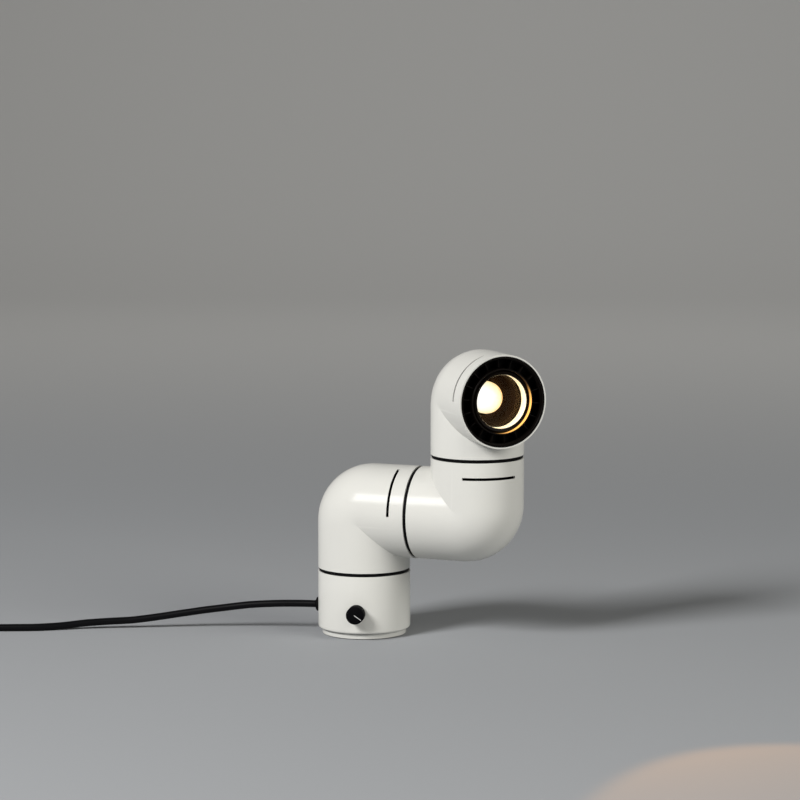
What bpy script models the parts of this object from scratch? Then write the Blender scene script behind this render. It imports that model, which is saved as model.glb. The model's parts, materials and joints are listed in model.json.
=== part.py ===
"""A table lamp: a weighted drum base and three elbow tubes that turn on each other at black friction rings.

The first elbow turns on the base, the second on the first one's level end, and the third, which holds the
light behind a glass lens and a ribbed black baffle, on top of the second. A dimmer knob stands out of the
base, and the mains cord leaves it at a gland, lies on the table and ends in a tied coil and a flat plug.

Metres, +Z up. The origin is on the table, on the base's axis. The knob faces -Y and the cord leaves along -X.
"""

import math

import bmesh
import bpy
from mathutils import Matrix, Vector

# Clearances
SEAT_GAP = 0.0003
RUNNING_GAP = 0.0001
CUT_OVERRUN = 0.002

# Elbow tubes
TUBE_RADIUS = 0.0400
TUBE_WALL = 0.0016
BEND_RADIUS = 0.0095
LEG_LENGTH = 0.0505
MOUTH_LEG_LENGTH = 0.0519
SLOT_WIDTH = 0.0020
SLOT_SETBACK = 0.0124
SLOT_START = math.radians(17)
SLOT_END = math.radians(89)
ARM_YAW = math.radians(-12.2)
HEAD_YAW = math.radians(-57.9)
TUBE_FACETS = 40
BEND_STEPS = 5

# Base
BASE_TOP = 0.0552
BASE_BOTTOM = 0.0051
BASE_EDGE_RADIUS = 0.0025
BASE_SKIRT_WALL = 0.0033
BASE_SKIRT_HEIGHT = 0.0070
BASE_SKIRT_TAPER = 0.0020
FOOT_CLEARANCE = 0.0006
COVER_TOP = 0.0070
PAD_RIM = 0.0011
PAD_THICKNESS = 0.0017
BOSS_RADIUS = 0.0045
BOSS_HEIGHT = 0.0082
BOSS_WALL_LAP = 0.0006
BOSS_ANGLES = [math.radians(angle) for angle in (90, 210, 330)]

# Ballast
BALLAST_HEIGHT = 0.0197
CHANNEL_HALF_WIDTH = 0.0110
CHANNEL_FLOOR = 0.0188
CHANNEL_END = -0.0050
POT_POCKET_HALF_WIDTH = 0.0095
BOARD_BOSS_RADIUS = 0.0035
BOARD_BOSS_SHARES = (0.588, 0.471)

# Swivels, along each joint's axis from the end of the tube that carries it
SEAM_GAP = 0.0030
RING_RECESS = 0.00095
RING_PLUG_DEPTH = 0.0025
PLATE_THICKNESS = 0.0030
SWIVEL_BORE = 0.0038
SWIVEL_SHANK_RADIUS = 0.0050
SWIVEL_HEAD_RADIUS = 0.0080
SWIVEL_HEAD_THICKNESS = 0.0020
WASHER_OUTER_RADIUS = 0.0090
WASHER_THICKNESS = 0.0004
WASHER_WAVE = 0.0003
SWIVEL_NUT_RADIUS = 0.0081
SWIVEL_NUT_THICKNESS = 0.0030
THREAD_STAND = 0.0010
STOP_PIN_RADIUS = 0.0015
STOP_PIN_INSET = 0.0081
STOP_PIN_HEIGHT = 0.0016
TURN_TRAVEL = math.radians(165)
TILT_TRAVEL = math.radians(95)
STOP_MARGIN = math.radians(1.5)
RING_FACETS = 32

# Dimmer knob and its potentiometer
CONTROL_HEIGHT = 0.0238
KNOB_RADIUS = 0.0077
KNOB_LENGTH = 0.0105
KNOB_STANDOFF = 0.0010
KNOB_CHAMFER = 0.0005
KNOB_RECESS_RADIUS = 0.0062
KNOB_RECESS_DEPTH = 0.0026
POINTER_ANGLE = math.radians(125)
POINTER_LENGTH = 0.0072
POINTER_BACK = 0.0005
POINTER_WIDTH = 0.0007
POINTER_DEPTH = 0.0006
POINTER_GAP = 0.0001
SHAFT_RADIUS = 0.0030
SHAFT_REACH = 0.0080
BUSH_RADIUS = 0.0035
BUSH_REACH = 0.0026
POT_RADIUS = 0.0080
POT_LENGTH = 0.0090
POT_WALL_SPACE = 0.0014
POT_BORE_REACH = 0.0070
POT_NUT_RADIUS = 0.0055
POT_NUT_THICKNESS = 0.0018

# Dimmer board and what stands on it
BOARD_WALL_SPACE = 0.0044
BOARD_THICKNESS = 0.0016
CHOKE_RADIUS = 0.0090
CHOKE_BORE = 0.0040
CHOKE_HEIGHT = 0.0080
CHOKE_PLACE = (0.0150, -0.0140)
CAPACITOR_SIZE = (0.0180, 0.0080, 0.0130)
CAPACITOR_PLACE = (-0.0140, -0.0120)
TRIAC_SIZE = (0.0150, 0.0040, 0.0150)
TRIAC_PLACE = (0.0000, 0.0220)

# Screws
SCREW_RADIUS = 0.0015
SCREW_HEAD_RADIUS = 0.0027
SCREW_HEAD_HEIGHT = 0.0017
FOOT_SCREW_LENGTH = 0.0095
BOARD_SCREW_LENGTH = 0.0080
CLAMP_SCREW_LENGTH = 0.0070
SCREW_FACETS = 12

# Cord gland, anchorage and terminal block
GLAND_RADIUS = 0.0062
GLAND_NOSE_RADIUS = 0.0037
GLAND_NOSE_LENGTH = 0.0024
GLAND_SHOULDER_SHARES = (0.75, 0.55)
GLAND_THREAD_RADIUS = 0.0045
GLAND_THREAD_LENGTH = 0.0090
GLAND_NUT_RADIUS = 0.0065
GLAND_NUT_THICKNESS = 0.0030
CLAMP_SPACE = 0.0144
CLAMP_LENGTH = 0.0050
CLAMP_WALL = 0.0021
CLAMP_FOOT_HALF_WIDTH = 0.0105
CLAMP_FOOT_THICKNESS = 0.0020
CLAMP_SCREW_PLACE = 0.0083
BLOCK_SIZE = (0.0105, 0.0150, 0.0092)
BLOCK_START = -0.0170

# Lamp wire
WIRE_RADIUS = 0.0022
WIRE_BEND = 0.0250
WIRE_JOINT_PLACE = 0.0011
WIRE_STEP = 0.0060
BASE_WIRE_SHARES = [(0.5, 0.35), (0, 0.7)]
HEAD_WIRE_SHARES = [(0, 0.35), (0.2, 0.58), (0.8, 0.76)]
HEAD_WIRE_ENTRY_SHARE = 0.65

# Head, as depths behind the mouth
BAFFLE_DEPTH = 0.0010
BAFFLE_RIM_DEPTH = 0.0003
BAFFLE_LENGTH = 0.0130
BAFFLE_WALL = 0.0015
BAFFLE_HUB_RADIUS = 0.0270
BAFFLE_HUB_WALL = 0.0012
BAFFLE_FLOOR = 0.0010
RIB_DEPTH = 0.0035
RIB_THICKNESS = 0.0008
RIB_COUNT = 18
RIB_START_SHARE = 0.75
RIB_LAP = 0.0006
BEZEL_DEPTH = 0.0022
BEZEL_RIM_WIDTH = 0.0010
BEZEL_THROAT_STEP = 0.0043
BEZEL_THROAT_DEPTH = 0.0027
BEZEL_LIP = 0.0093
BEZEL_END_DEPTH = 0.0185
LENS_STEP = 0.0025
LENS_CROWN = 0.0010
LENS_EDGE = 0.0030
LENS_RINGS = 4
REFLECTOR_FLANGE = 0.0012
REFLECTOR_WALL = 0.0012
REFLECTOR_LAP = 0.0162
BULB_RADIUS = 0.0132
BULB_LENGTH = 0.0440
BULB_NECK_LENGTH = 0.0240
BULB_HOLE_GAP = 0.0015
CAP_RADIUS = 0.0070
CAP_LENGTH = 0.0140
HOLDER_WALL = 0.0037
HOLDER_BACK = 0.0040
HOLDER_SPACE = 0.0064
BRACKET_THICKNESS = 0.0010
BRACKET_WIDTH = 0.0080
BRACKET_FOOT = 0.0060
BRACKET_SPACE = 0.0020
BRACKET_SHOULDER = 0.0050
BRACKET_BEND_LENGTH = 0.0040
BRACKET_GRIP = 0.0150
HEAD_FACETS = 32

# Mains cord. The run's route is chosen by hand, on the table from its last third on.
CORD_RADIUS = 0.00315
CORD_STEP = 0.0065
TIE_THICKNESS = 0.0006
TIE_WIDTH = 0.0080
TIE_GAP = 0.0004
RUN_ROUTE = [
    (-0.0430, 0.0000, 0.0238),
    (-0.0576, 0.0000, 0.0237),
    (-0.0797, -0.0008, 0.0231),
    (-0.1013, -0.0013, 0.0215),
    (-0.1224, -0.0024, 0.0187),
    (-0.1433, -0.0042, 0.0158),
    (-0.1635, -0.0068, 0.0127),
    (-0.1835, -0.0101, 0.0097),
    (-0.2032, -0.0138, 0.0073),
    (-0.2238, -0.0183, 0.0063),
    (-0.2435, -0.0238, 0.0053),
    (-0.2624, -0.0308, 0.0037),
    (-0.2816, -0.0385, 0.00325),
    (-0.3020, -0.0431, 0.0032),
    (-0.3216, -0.0466, 0.0032),
    (-0.3437, -0.0502, 0.0033),
    (-0.3651, -0.0536, 0.0038),
    (-0.3760, -0.0553, 0.0038),
]
COIL_HEADING = math.radians(188.8)
COIL_INNER_RADIUS = 0.0255
COIL_PITCH = 0.00685
COIL_TURNS = 6.25
COIL_LAYERS = 2
COIL_POINTS_A_TURN = 24
LEAD_IN = 0.0065
TAIL_LENGTH = 0.0450
TAIL_SWAY = 0.0060
TAIL_MIDDLE_SHARE = 0.5

# Flat two-pin plug
PLUG_LENGTH = 0.0360
PLUG_WIDTH = 0.0353
PLUG_THICKNESS = 0.0137
PLUG_WAIST = 0.0130
PLUG_SHOULDER_LENGTH = 0.0140
PLUG_BEVEL = 0.0020
BOOT_LENGTH = 0.0220
BOOT_RADIUS = 0.0055
BOOT_TIP_RADIUS = 0.0040
BOOT_LAP = 0.0040
PIN_RADIUS = 0.0020
PIN_LENGTH = 0.0190
PIN_SPACING = 0.0186
PIN_SEAT = 0.0100
PIN_BRIDGE = 0.0030
PIN_BRIDGE_RADIUS = 0.0026

# Sizes that follow from those above
BORE_RADIUS = TUBE_RADIUS - TUBE_WALL
PLUG_IN_RADIUS = BORE_RADIUS - SEAT_GAP
STOP_PIN_PLACE = PLUG_IN_RADIUS - STOP_PIN_INSET
BOARD_RADIUS = BORE_RADIUS - BOARD_WALL_SPACE
BOARD_BOSS_X = BOARD_RADIUS * BOARD_BOSS_SHARES[0]
BOARD_BOSS_Y = BOARD_RADIUS * BOARD_BOSS_SHARES[1]
BEZEL_RIM_RADIUS = BAFFLE_HUB_RADIUS - BEZEL_RIM_WIDTH
BEZEL_THROAT_RADIUS = BAFFLE_HUB_RADIUS - BEZEL_THROAT_STEP
LENS_RADIUS = BAFFLE_HUB_RADIUS - LENS_STEP
CLAMP_START = CLAMP_SPACE - BORE_RADIUS
ELBOW_CORNER = SEAM_GAP + LEG_LENGTH
RING_TOP = SEAM_GAP - SEAT_GAP
PLATE_TOP = SEAM_GAP + PLATE_THICKNESS
WIRE_START = WIRE_JOINT_PLACE + SEAT_GAP
FOOT_RADIUS = TUBE_RADIUS - BASE_SKIRT_WALL - SEAT_GAP
BALLAST_BOTTOM = COVER_TOP + SEAT_GAP
BALLAST_TOP = BALLAST_BOTTOM + BALLAST_HEIGHT
BOARD_BOTTOM = CONTROL_HEIGHT + POT_RADIUS + 3 * SEAT_GAP
BOARD_TOP = BOARD_BOTTOM + BOARD_THICKNESS
KNOB_BACK = TUBE_RADIUS + KNOB_STANDOFF
KNOB_FACE = KNOB_BACK + KNOB_LENGTH
POT_FACE = BORE_RADIUS - POT_WALL_SPACE
GLAND_FACE = TUBE_RADIUS + SEAT_GAP + GLAND_NOSE_LENGTH
GLAND_NUT_TOP = math.sqrt(BORE_RADIUS**2 - GLAND_NUT_RADIUS**2) - 2 * SEAT_GAP
COIL_OUTER_RADIUS = COIL_INNER_RADIUS + COIL_PITCH * COIL_TURNS / COIL_LAYERS
COIL_BOTTOM = CORD_RADIUS + TIE_THICKNESS + TIE_GAP
CAP_DEPTH = MOUTH_LEG_LENGTH + BORE_RADIUS - HOLDER_SPACE - HOLDER_BACK - CAP_LENGTH
BULB_NECK_DEPTH = CAP_DEPTH - 3 * SEAT_GAP
BULB_SHOULDER_DEPTH = BULB_NECK_DEPTH - BULB_NECK_LENGTH
BULB_DEPTH = BULB_NECK_DEPTH - BULB_LENGTH
REFLECTOR_END_DEPTH = BULB_DEPTH + REFLECTOR_LAP
BRACKET_BEND_DEPTH = BULB_NECK_DEPTH - BRACKET_SHOULDER
BRACKET_END_DEPTH = BULB_NECK_DEPTH + BRACKET_GRIP


def clear_scene():
    for obj in list(bpy.data.objects):
        bpy.data.objects.remove(obj, do_unlink=True)


def finish(name, colour, roughness, metallic=0.0, transmission=0.0, glow=0.0):
    """A material with one Principled shader."""
    made = bpy.data.materials.new(name)
    made.use_nodes = True
    shader = made.node_tree.nodes["Principled BSDF"]
    shader.inputs["Base Color"].default_value = (*colour, 1.0)
    shader.inputs["Roughness"].default_value = roughness
    shader.inputs["Metallic"].default_value = metallic
    shader.inputs["Transmission Weight"].default_value = transmission
    shader.inputs["Emission Color"].default_value = (*colour, 1.0)
    shader.inputs["Emission Strength"].default_value = glow
    made.diffuse_color = (*colour, 1.0)
    return made


def turn_to(direction):
    """The turn that points a piece's own +Z along a direction."""
    return Vector(direction).to_track_quat("Z", "Y").to_matrix().to_4x4()


def at(x=0.0, y=0.0, z=0.0):
    return Matrix.Translation((x, y, z))


def add_object(name, data, material, body, place=None):
    """Puts a mesh or curve in the scene as a piece of a body, at a place in the body's own frame."""
    made = bpy.data.objects.new(name, data)
    bpy.context.scene.collection.objects.link(made)
    made.parent = body
    if place is not None:
        made.matrix_basis = place
    if material:
        data.materials.append(material)
    return made


def mesh_from(shape, name):
    """A mesh from a bmesh, with its doubles merged, its faces outward and its round sides smooth."""
    bmesh.ops.remove_doubles(shape, verts=shape.verts[:], dist=RUNNING_GAP / 100)
    bmesh.ops.recalc_face_normals(shape, faces=shape.faces[:])
    mesh = bpy.data.meshes.new(name)
    shape.to_mesh(mesh)
    shape.free()
    mesh.shade_smooth()
    mesh.set_sharp_from_angle(angle=math.radians(35))
    return mesh


def turned(name, outline, facets, material, body, place=None):
    """A piece turned about its own Z from an outline of (radius, height) points. An outline that starts and
    ends on the axis is solid, and any other closes into a ring."""
    shape = bmesh.new()
    verts = [shape.verts.new((radius, 0, height)) for radius, height in outline]
    edges = [shape.edges.new(pair) for pair in zip(verts, verts[1:])]
    if outline[0][0] or outline[-1][0]:
        edges.append(shape.edges.new((verts[-1], verts[0])))
    bmesh.ops.spin(
        shape,
        geom=verts + edges,
        axis=(0, 0, 1),
        cent=(0, 0, 0),
        angle=math.tau,
        steps=facets,
        use_merge=True,
    )
    return add_object(name, mesh_from(shape, name), material, body, place)


def rod(name, radius, low, high, facets, material, body, place=None):
    outline = [(0, low), (radius, low), (radius, high), (0, high)]
    return turned(name, outline, facets, material, body, place)


def block(name, low, high, material, body, place=None):
    """A rectangular block between two corners."""
    shape = bmesh.new()
    bmesh.ops.create_cube(shape, size=1)
    size = Vector(high) - Vector(low)
    centre = (Vector(high) + Vector(low)) / 2
    bmesh.ops.transform(shape, matrix=Matrix.Translation(centre) @ Matrix.Diagonal((*size, 1)), verts=shape.verts)
    return add_object(name, mesh_from(shape, name), material, body, place)


def prism(name, outline, low, high, material, body, place=None):
    """A piece with a flat outline in its own XY plane, between two heights."""
    shape = bmesh.new()
    face = shape.faces.new([shape.verts.new((x, y, low)) for x, y in outline])
    grown = bmesh.ops.extrude_face_region(shape, geom=[face])
    top = [item for item in grown["geom"] if isinstance(item, bmesh.types.BMVert)]
    bmesh.ops.translate(shape, verts=top, vec=(0, 0, high - low))
    return add_object(name, mesh_from(shape, name), material, body, place)


def ring_sector(name, inner, outer, low, high, first, last, steps, body, place=None):
    """A cutter: the stretch of a ring between two angles about its own Z."""
    shape = bmesh.new()
    section = [(inner, low), (outer, low), (outer, high), (inner, high)]
    start = [shape.verts.new((radius * math.cos(first), radius * math.sin(first), z)) for radius, z in section]
    face = shape.faces.new(start)
    bmesh.ops.spin(
        shape,
        geom=[face],
        axis=(0, 0, 1),
        cent=(0, 0, 0),
        angle=last - first,
        steps=steps,
        use_duplicate=False,
    )
    return add_object(name, mesh_from(shape, name), None, body, place)


def combine(piece, other, operation="DIFFERENCE"):
    """Cuts a helper from a piece, or joins it on, and keeps the helper out of the model."""
    change = piece.modifiers.new(other.name, "BOOLEAN")
    change.operation = operation
    change.solver = "EXACT"
    change.object = other
    other.hide_render = True
    other.display_type = "WIRE"


def smooth_line(route, step):
    """Points about a step apart along the smooth curve through a route's points."""
    route = [Vector(point) for point in route]
    ends = [2 * route[0] - route[1], *route, 2 * route[-1] - route[-2]]
    line = []
    for before, here, there, after in zip(ends, ends[1:], ends[2:], ends[3:]):
        parts = max(1, round((there - here).length / step))
        for part in range(parts):
            t = part / parts
            line.append(
                0.5
                * (
                    2 * here
                    + (there - before) * t
                    + (2 * before - 5 * here + 4 * there - after) * t**2
                    + (3 * here - before - 3 * there + after) * t**3
                )
            )
    return [*line, route[-1]]


def line_length(line):
    return sum((b - a).length for a, b in zip(line, line[1:]))


def tube(name, line, radius, resolution, material, body, place=None):
    """A round tube along a line, with flat ends."""
    curve = bpy.data.curves.new(name, "CURVE")
    curve.dimensions = "3D"
    spline = curve.splines.new("POLY")
    spline.points.add(len(line) - 1)
    for point, where in zip(spline.points, line):
        point.co = (*where, 1)
    curve.bevel_depth = radius
    curve.bevel_resolution = resolution
    curve.use_fill_caps = True
    return add_object(name, curve, material, body, place)


def hexagon(radius):
    corners = range(6)
    return [(radius * math.cos(math.tau * k / 6), radius * math.sin(math.tau * k / 6)) for k in corners]


def arc(centre, radius, first, last, steps):
    """Points along an arc, for an outline."""
    angles = [first + (last - first) * k / steps for k in range(steps + 1)]
    return [(centre[0] + radius * math.cos(a), centre[1] + radius * math.sin(a)) for a in angles]


def body_frames():
    """Each body's frame at rest: its Z is the axis that it turns on, from the end of what carries it."""
    lower = at(z=BASE_TOP) @ Matrix.Rotation(ARM_YAW, 4, "Z")
    level = Matrix(((0, 0, 1, 0), (0, -1, 0, 0), (1, 0, 0, 0), (0, 0, 0, 1)))
    upper = lower @ at(x=LEG_LENGTH, z=ELBOW_CORNER) @ level
    seam = (upper @ at(x=LEG_LENGTH, z=ELBOW_CORNER)).translation
    head = Matrix.Translation(seam) @ Matrix.Rotation(HEAD_YAW, 4, "Z")
    knob = at(z=CONTROL_HEIGHT) @ turn_to((0, -1, 0))
    return {"lower_arm": lower, "upper_arm": upper, "head": head, "dimmer_knob": knob}


def add_bodies():
    """An empty for each body, parented as the joints chain them."""
    frames = {"base": Matrix.Identity(4), **body_frames()}
    carriers = {"lower_arm": "base", "upper_arm": "lower_arm", "head": "upper_arm", "dimmer_knob": "base"}
    bodies = {}
    for name, frame in frames.items():
        empty = bpy.data.objects.new(name + "_axis", None)
        bpy.context.scene.collection.objects.link(empty)
        carrier = carriers.get(name)
        if carrier:
            empty.parent = bodies[carrier]
            empty.matrix_basis = frames[carrier].inverted() @ frame
        bodies[name] = empty
    return bodies, frames


def elbow_rail(radius, side, leg, steps):
    """Points along one side of a bent tube, from its foot up and round to its outgoing end. At the inside of
    the bend the side turns at a crease, because the bend is tighter there than the tube is wide."""
    reach, sideways = radius * math.cos(side), radius * math.sin(side)
    swing = BEND_RADIUS - reach
    pivot = (BEND_RADIUS, ELBOW_CORNER - BEND_RADIUS)
    if swing > 0:
        bend = arc(pivot, swing, math.pi, math.pi / 2, steps)
    else:
        bend = [(reach, ELBOW_CORNER - reach)] * (steps + 1)
    path = [(reach, SEAM_GAP), *bend, (leg, ELBOW_CORNER - reach)]
    return [Vector((x, sideways, z)) for x, z in path]


def elbow(name, leg, material, body):
    """One moulded elbow shell with its two vent slots, standing on its foot at the body's origin."""
    shape = bmesh.new()
    sides = [math.tau * k / TUBE_FACETS for k in range(TUBE_FACETS)]
    skins = []
    for radius, steps in ((TUBE_RADIUS, BEND_STEPS), (BORE_RADIUS, BEND_STEPS - 2)):
        rails = [[shape.verts.new(point) for point in elbow_rail(radius, side, leg, steps)] for side in sides]
        skins.append(rails)
        for rail, beside in zip(rails, rails[1:] + rails[:1]):
            for k in range(len(rail) - 1):
                shape.faces.new((rail[k], rail[k + 1], beside[k + 1], beside[k]))
    outer, inner = skins
    for k in range(TUBE_FACETS):
        beside = (k + 1) % TUBE_FACETS
        for end in (0, -1):
            shape.faces.new((outer[k][end], inner[k][end], inner[beside][end], outer[beside][end]))
    shell = add_object(name, mesh_from(shape, name), material, body)
    slot_axis = at(x=leg - SLOT_SETBACK - SLOT_WIDTH, z=ELBOW_CORNER) @ Matrix.Rotation(math.pi / 2, 4, "Y")
    for sign, label in ((1, "left"), (-1, "right")):
        first, last = sorted(math.pi + sign * angle for angle in (SLOT_START, SLOT_END))
        cutter = ring_sector(
            f"{name}_slot_{label}",
            BORE_RADIUS - CUT_OVERRUN,
            TUBE_RADIUS + CUT_OVERRUN,
            0,
            SLOT_WIDTH,
            first,
            last,
            8,
            body,
            slot_axis,
        )
        combine(shell, cutter)
    return shell


def swivel(prefix, travel, finishes, carrier, carried, place):
    """The cartridge at a seam: a black ring that plugs into the carrying tube, a plate that plugs into the
    turning one, and a hollow bolt with a wave washer and nut that squeezes the two and lets the wire through.
    place is the turning body's frame in the carrying body's own frame."""
    ring_radius = TUBE_RADIUS - RING_RECESS
    ring = turned(
        prefix + "_swivel_ring",
        [
            (SWIVEL_SHANK_RADIUS + SEAT_GAP, -RING_PLUG_DEPTH),
            (PLUG_IN_RADIUS, -RING_PLUG_DEPTH),
            (PLUG_IN_RADIUS, SEAT_GAP),
            (ring_radius, SEAT_GAP),
            (ring_radius, RING_TOP),
            (SWIVEL_SHANK_RADIUS + SEAT_GAP, RING_TOP),
        ],
        RING_FACETS,
        finishes["black"],
        carrier,
        place,
    )
    pin = rod(
        prefix + "_stop_pin",
        STOP_PIN_RADIUS,
        RING_TOP - STOP_PIN_HEIGHT,
        RING_TOP + STOP_PIN_HEIGHT,
        SCREW_FACETS,
        None,
        carrier,
        place @ at(x=STOP_PIN_PLACE),
    )
    combine(ring, pin, "UNION")
    bore = SWIVEL_SHANK_RADIUS + RUNNING_GAP
    plate = turned(
        prefix + "_swivel_plate",
        [(bore, SEAM_GAP), (PLUG_IN_RADIUS, SEAM_GAP), (PLUG_IN_RADIUS, PLATE_TOP), (bore, PLATE_TOP)],
        RING_FACETS,
        finishes["white"],
        carried,
    )
    groove_end = travel + math.asin(STOP_PIN_RADIUS / STOP_PIN_PLACE) + STOP_MARGIN
    groove = ring_sector(
        prefix + "_stop_groove",
        STOP_PIN_PLACE - STOP_PIN_RADIUS - 2 * SEAT_GAP,
        STOP_PIN_PLACE + STOP_PIN_RADIUS + 2 * SEAT_GAP,
        SEAM_GAP - CUT_OVERRUN,
        RING_TOP + STOP_PIN_HEIGHT + SEAT_GAP,
        -groove_end,
        groove_end,
        round(24 * groove_end / math.pi),
        carried,
    )
    combine(plate, groove)
    head_top = -RING_PLUG_DEPTH - SEAT_GAP
    washer_low = PLATE_TOP + SEAT_GAP + WASHER_WAVE
    nut_low = washer_low + WASHER_THICKNESS + WASHER_WAVE + SEAT_GAP
    nut_top = nut_low + SWIVEL_NUT_THICKNESS
    turned(
        prefix + "_swivel_bolt",
        [
            (SWIVEL_BORE, head_top - SWIVEL_HEAD_THICKNESS),
            (SWIVEL_HEAD_RADIUS, head_top - SWIVEL_HEAD_THICKNESS),
            (SWIVEL_HEAD_RADIUS, head_top),
            (SWIVEL_SHANK_RADIUS, head_top),
            (SWIVEL_SHANK_RADIUS, nut_top + THREAD_STAND),
            (SWIVEL_BORE, nut_top + THREAD_STAND),
        ],
        16,
        finishes["steel"],
        carrier,
        place,
    )
    wave_washer(prefix + "_wave_washer", washer_low, finishes["steel"], carrier, place)
    nut = prism(
        prefix + "_swivel_nut", hexagon(SWIVEL_NUT_RADIUS), nut_low, nut_top, finishes["steel"], carrier, place
    )
    thread = rod(
        prefix + "_nut_thread",
        SWIVEL_SHANK_RADIUS + SEAT_GAP,
        nut_low - CUT_OVERRUN,
        nut_top + CUT_OVERRUN,
        16,
        None,
        carrier,
        place,
    )
    combine(nut, thread)


def wave_washer(name, low, material, body, place):
    """A thin ring with three waves."""
    shape = bmesh.new()
    rows = []
    for k in range(24):
        angle = math.tau * k / 24
        lift = WASHER_WAVE * math.cos(3 * angle)
        section = [
            (SWIVEL_SHANK_RADIUS + SEAT_GAP, low + lift),
            (WASHER_OUTER_RADIUS, low + lift),
            (WASHER_OUTER_RADIUS, low + lift + WASHER_THICKNESS),
            (SWIVEL_SHANK_RADIUS + SEAT_GAP, low + lift + WASHER_THICKNESS),
        ]
        rows.append([shape.verts.new((r * math.cos(angle), r * math.sin(angle), z)) for r, z in section])
    for row, beside in zip(rows, rows[1:] + rows[:1]):
        for k in range(4):
            shape.faces.new((row[k], row[(k + 1) % 4], beside[(k + 1) % 4], beside[k]))
    add_object(name, mesh_from(shape, name), material, body, place)


def boss_place(angle):
    """Where a screw boss stands against the inside of the base's wall."""
    reach = TUBE_RADIUS - BASE_SKIRT_WALL - BOSS_RADIUS + BOSS_WALL_LAP
    return reach * math.cos(angle), reach * math.sin(angle)


def base_shell(finishes, base):
    """The drum, its foot cover, the rubber pad under that and the three screws that join them."""
    skirt_radius = TUBE_RADIUS - BASE_SKIRT_WALL
    skirt_top = BASE_BOTTOM + BASE_SKIRT_HEIGHT
    edge = (TUBE_RADIUS - BASE_EDGE_RADIUS, BASE_BOTTOM + BASE_EDGE_RADIUS)
    housing = turned(
        "base_housing",
        [
            (skirt_radius, BASE_BOTTOM),
            *arc(edge, BASE_EDGE_RADIUS, -math.pi / 2, 0, 3),
            (TUBE_RADIUS, BASE_TOP),
            (BORE_RADIUS, BASE_TOP),
            (BORE_RADIUS, skirt_top + BASE_SKIRT_TAPER),
            (skirt_radius, skirt_top),
        ],
        TUBE_FACETS,
        finishes["white"],
        base,
    )
    cover = turned(
        "foot_cover",
        [
            (0, PAD_THICKNESS + SEAT_GAP),
            (FOOT_RADIUS - PAD_RIM, PAD_THICKNESS + SEAT_GAP),
            (FOOT_RADIUS - PAD_RIM, FOOT_CLEARANCE),
            (FOOT_RADIUS, FOOT_CLEARANCE),
            (FOOT_RADIUS, COVER_TOP),
            (0, COVER_TOP),
        ],
        TUBE_FACETS,
        finishes["white"],
        base,
    )
    pad_radius = FOOT_RADIUS - PAD_RIM - SEAT_GAP
    rod("non_slip_pad", pad_radius, 0, PAD_THICKNESS, RING_FACETS, finishes["rubber"], base)
    head_low = PAD_THICKNESS + 2 * SEAT_GAP
    head_top = head_low + SCREW_HEAD_HEIGHT
    for count, angle in enumerate(BOSS_ANGLES, 1):
        here = at(*boss_place(angle))
        low = COVER_TOP + SEAT_GAP
        boss = rod(f"boss_{count}", BOSS_RADIUS, low, low + BOSS_HEIGHT, 16, None, base, here)
        combine(housing, boss, "UNION")
        pilot = rod(
            f"pilot_hole_{count}",
            SCREW_RADIUS + SEAT_GAP,
            low - CUT_OVERRUN,
            head_top + FOOT_SCREW_LENGTH + SEAT_GAP,
            SCREW_FACETS,
            None,
            base,
            here,
        )
        combine(housing, pilot)
        seat = turned(
            f"screw_seat_{count}",
            [
                (0, 0),
                (SCREW_HEAD_RADIUS + SEAT_GAP, 0),
                (SCREW_HEAD_RADIUS + SEAT_GAP, head_top + SEAT_GAP),
                (SCREW_RADIUS + SEAT_GAP, head_top + SEAT_GAP),
                (SCREW_RADIUS + SEAT_GAP, COVER_TOP + CUT_OVERRUN),
                (0, COVER_TOP + CUT_OVERRUN),
            ],
            SCREW_FACETS,
            None,
            base,
            here,
        )
        combine(cover, seat)
        screw(f"foot_screw_{count}", head_low, FOOT_SCREW_LENGTH, finishes["steel"], base, here)


def screw(name, head_low, length, material, body, place):
    """A round-headed screw that points up from its head."""
    head_top = head_low + SCREW_HEAD_HEIGHT
    turned(
        name,
        [
            (0, head_low),
            (SCREW_HEAD_RADIUS, head_low),
            (SCREW_HEAD_RADIUS, head_top),
            (SCREW_RADIUS, head_top),
            (SCREW_RADIUS, head_top + length),
            (0, head_top + length),
        ],
        SCREW_FACETS,
        material,
        body,
        place,
    )


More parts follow.
